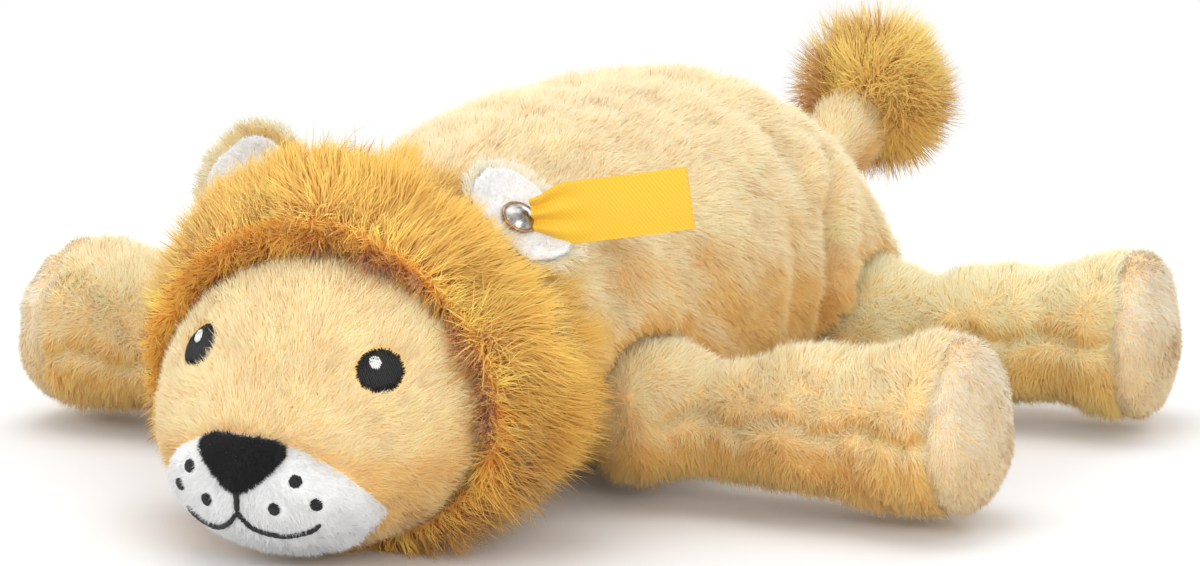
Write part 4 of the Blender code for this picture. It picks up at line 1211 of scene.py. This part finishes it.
def dress_mane():
    mesh = skin_mesh(["mane_panel"], HEAD_VOXEL, 3, room=0)
    points = points_of(mesh)
    normals = normals_of(mesh)

    def radial(places):
        out = places - np.array(MANE_CENTRE)
        out[:, 1] = 0
        return unit(out)

    low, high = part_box("mane_panel")
    outward = smoothstep(-0.1, 0.5, np.einsum("ij,ij->i", normals, radial(points)))
    edge = np.minimum(points[:, 1] - low[1], high[1] - points[:, 1])
    press(mesh, (1.5 + 4.5 * smoothstep(0, 9 * MM, edge)) * MM * outward)
    show_skin("mane_skin", mesh, "head", "gold", ["mane_panel"])
    start = low[1]
    button = middle_of("ear_button")
    right_ear = np.array(JOINTS["ear_right"])

    def comb(roots, normals):
        flow = radial(roots) * 0.7
        back = smoothstep(0, 12 * MM, roots[:, 1] - start)
        flow[:, 1] += 0.15 + 0.9 * back
        flow[:, 2] -= 0.25
        return brushed(flow, roots, 15, 0.38, 61)

    def outside(sign, upper):
        def keep(roots, normals):
            facing = np.einsum("ij,ij->i", normals, radial(roots))
            lip = (normals[:, 1] < -0.3) & (roots[:, 1] < start + 5 * MM)
            nape = (normals[:, 1] > 0.1) & (facing > -0.7)
            here = (roots[:, 0] * sign >= 0) & ((roots[:, 2] >= MANE_SPLIT) == upper)
            return ((facing > 0.0) | lip | nape) & here
        return keep

    def lengths(roots, normals):
        edge_share = smoothstep(0, 10 * MM, roots[:, 1] - start)
        front = smoothstep(-0.4, -0.9, normals[:, 1])
        size = (0.50 + 0.50 * edge_share) * (1 - 0.40 * front)
        size *= 1 + 0.35 * bell(norm(roots - button), 13 * MM)
        size *= 1 + 0.40 * bell(norm(roots - right_ear), 13 * MM)
        low_left = smoothstep(15 * MM, 35 * MM, roots[:, 0]) * smoothstep(
            60 * MM, 46 * MM, roots[:, 2])
        size *= 1 + 0.30 * low_left
        return size * (1 + 0.12 * wave(roots, 10 * MM, 64))

    # Painted light: the lip strands next to the face are lightened, to lift the shade in the
    # crease between face and mane
    def tint(roots, normals):
        front = smoothstep(-0.2, -0.8, normals[:, 1]) * (roots[:, 1] < start + 6 * MM)
        return 1 + front[:, None] * np.array([0.34, 0.30, 0.30])

    for word, sign in SIDES:
        for level, upper in (("upper", True), ("lower", False)):
            plant(f"mane_pile_{word}_{level}", "head", mesh, "gold", comb,
                  500 + 10 * sign + upper, keep=outside(sign, upper), lengths=lengths,
                  tint=tint)


# Ears, button and ribbon


def dress_ears():
    # Painted light: the ear backs' pile is lightened, blue most, to lift the shade on strands
    # seen from their unlit side; the linings keep their own white
    cloths = (("_back", "cream", 0, (1.02, 1.26, 1.70), 0.95), ("_lining", "white", 5, 1, 0.5))
    for body, seed in (("ear_left", 700), ("ear_right", 720)):
        base = np.array(JOINTS[body])
        for part, kind, more, tint, length in cloths:
            mesh = applied(NODES[body + part].data.copy(), [remesh(EAR_VOXEL), soften(8)])
            show_skin(body + part + "_skin", mesh, body, kind, [body + part])
            plant(body + part + "_pile", body, mesh, kind,
                  lambda roots, normals: unit(roots - base), seed + more, tint=tint,
                  lengths=length)


def dress_button():
    """The domed metal button with its rolled bronze rim, and its shank and washer."""
    washer = points_of(NODES["ear_button_washer"].data)
    foot = washer.mean(axis=0)
    axis = Vector(np.linalg.svd(washer - foot)[2][2])
    heights = (points_of(NODES["ear_button"].data) - foot) @ np.array(axis)
    if abs(heights.min()) > abs(heights.max()):
        axis.negate()
        heights = -heights
    seat = heights.max() - BUTTON_HEIGHT
    profile = [(SHANK_RADIUS, 0.4 * MM)] + [(r * MM, seat + h * MM) for r, h in BUTTON_PROFILE]
    side = axis.orthogonal().normalized()
    third = axis.cross(side)
    body = bmesh.new()
    rings = [ring(body, Vector(foot) + axis * height, side, third, radius, BUTTON_STEPS)
             for radius, height in profile]
    for index, face in enumerate(add_faces(body, rings)):
        face.material_index = int(index // BUTTON_STEPS in RIM_ROWS)
    mesh = mesh_of("ear_button_metal", body, "button_metal", "button_rim")
    mesh.set_sharp_from_angle(angle=SHARP)
    button = add_object("ear_button_metal", mesh, "ear_left")
    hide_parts("ear_button")
    for slot in NODES["ear_button_washer"].material_slots:
        slot.material = MATERIALS["button_metal"]


def dress_ribbon():
    """A folded woven ribbon, gathered under the button: out, round its end and back."""
    start = JOINTS["tag"]
    points = points_of(NODES["ear_tag"].data)
    reach = norm(points - np.array(start))
    far = points[reach > reach.max() * 0.97].mean(axis=0)
    way = ((Vector(far) - start).normalized() + Vector((0, 0, 0.06))).normalized()
    start = start - way * 1.8 * MM
    length = (Vector(far) - start).length
    wide = (Vector((0, 0, 1)) - way * way.z).normalized()
    face = way.cross(wide)
    if face.y > 0:
        face.negate()
    shares = list(np.linspace(0, 1, 45))
    rows = [(share, 1) for share in shares] + [(1.0, 0)] + [(s, -1) for s in shares[::-1]]
    columns = np.linspace(-1, 1, 25)
    body = bmesh.new()
    verts = []
    for share, layer in rows:
        spread = 0.58 + 0.42 * smoothstep(0.0, 0.24, share)
        gather = (1 - smoothstep(0.0, 0.42, share)) * MM
        end = RIBBON_GAP * 0.5 if layer == 0 else 0.0
        row = []
        for column in columns:
            fold = 0.75 * gather * math.cos(2.6 * math.pi * (column - 0.15))
            sweep = 0.9 * MM * math.sin(math.pi * share) * (1 - 0.3 * column)
            curl = 0.35 * MM * column ** 2 * share
            row.append(body.verts.new(
                start + way * (length * share + end) + wide * (RIBBON_HALF * spread * column)
                + face * (fold + sweep - curl + layer * RIBBON_GAP)))
        verts.append(row)
    add_faces(body, verts, closed=False)
    mesh = applied(mesh_of("ear_ribbon", body),
                   [("SOLIDIFY", dict(thickness=RIBBON_THICKNESS, offset=0.0))])
    mesh.shade_smooth()
    mesh.set_sharp_from_angle(angle=SHARP)
    mesh.materials.append(MATERIALS["ribbon"])
    ribbon = add_object("ear_ribbon", mesh, "tag")
    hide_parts("ear_tag")


make_studio()
dress_torso()
for number, leg in enumerate(LEGS):
    dress_leg(leg, 600 + 30 * number)
dress_tail()
dress_head()
dress_mane()
dress_ears()
dress_button()
dress_ribbon()
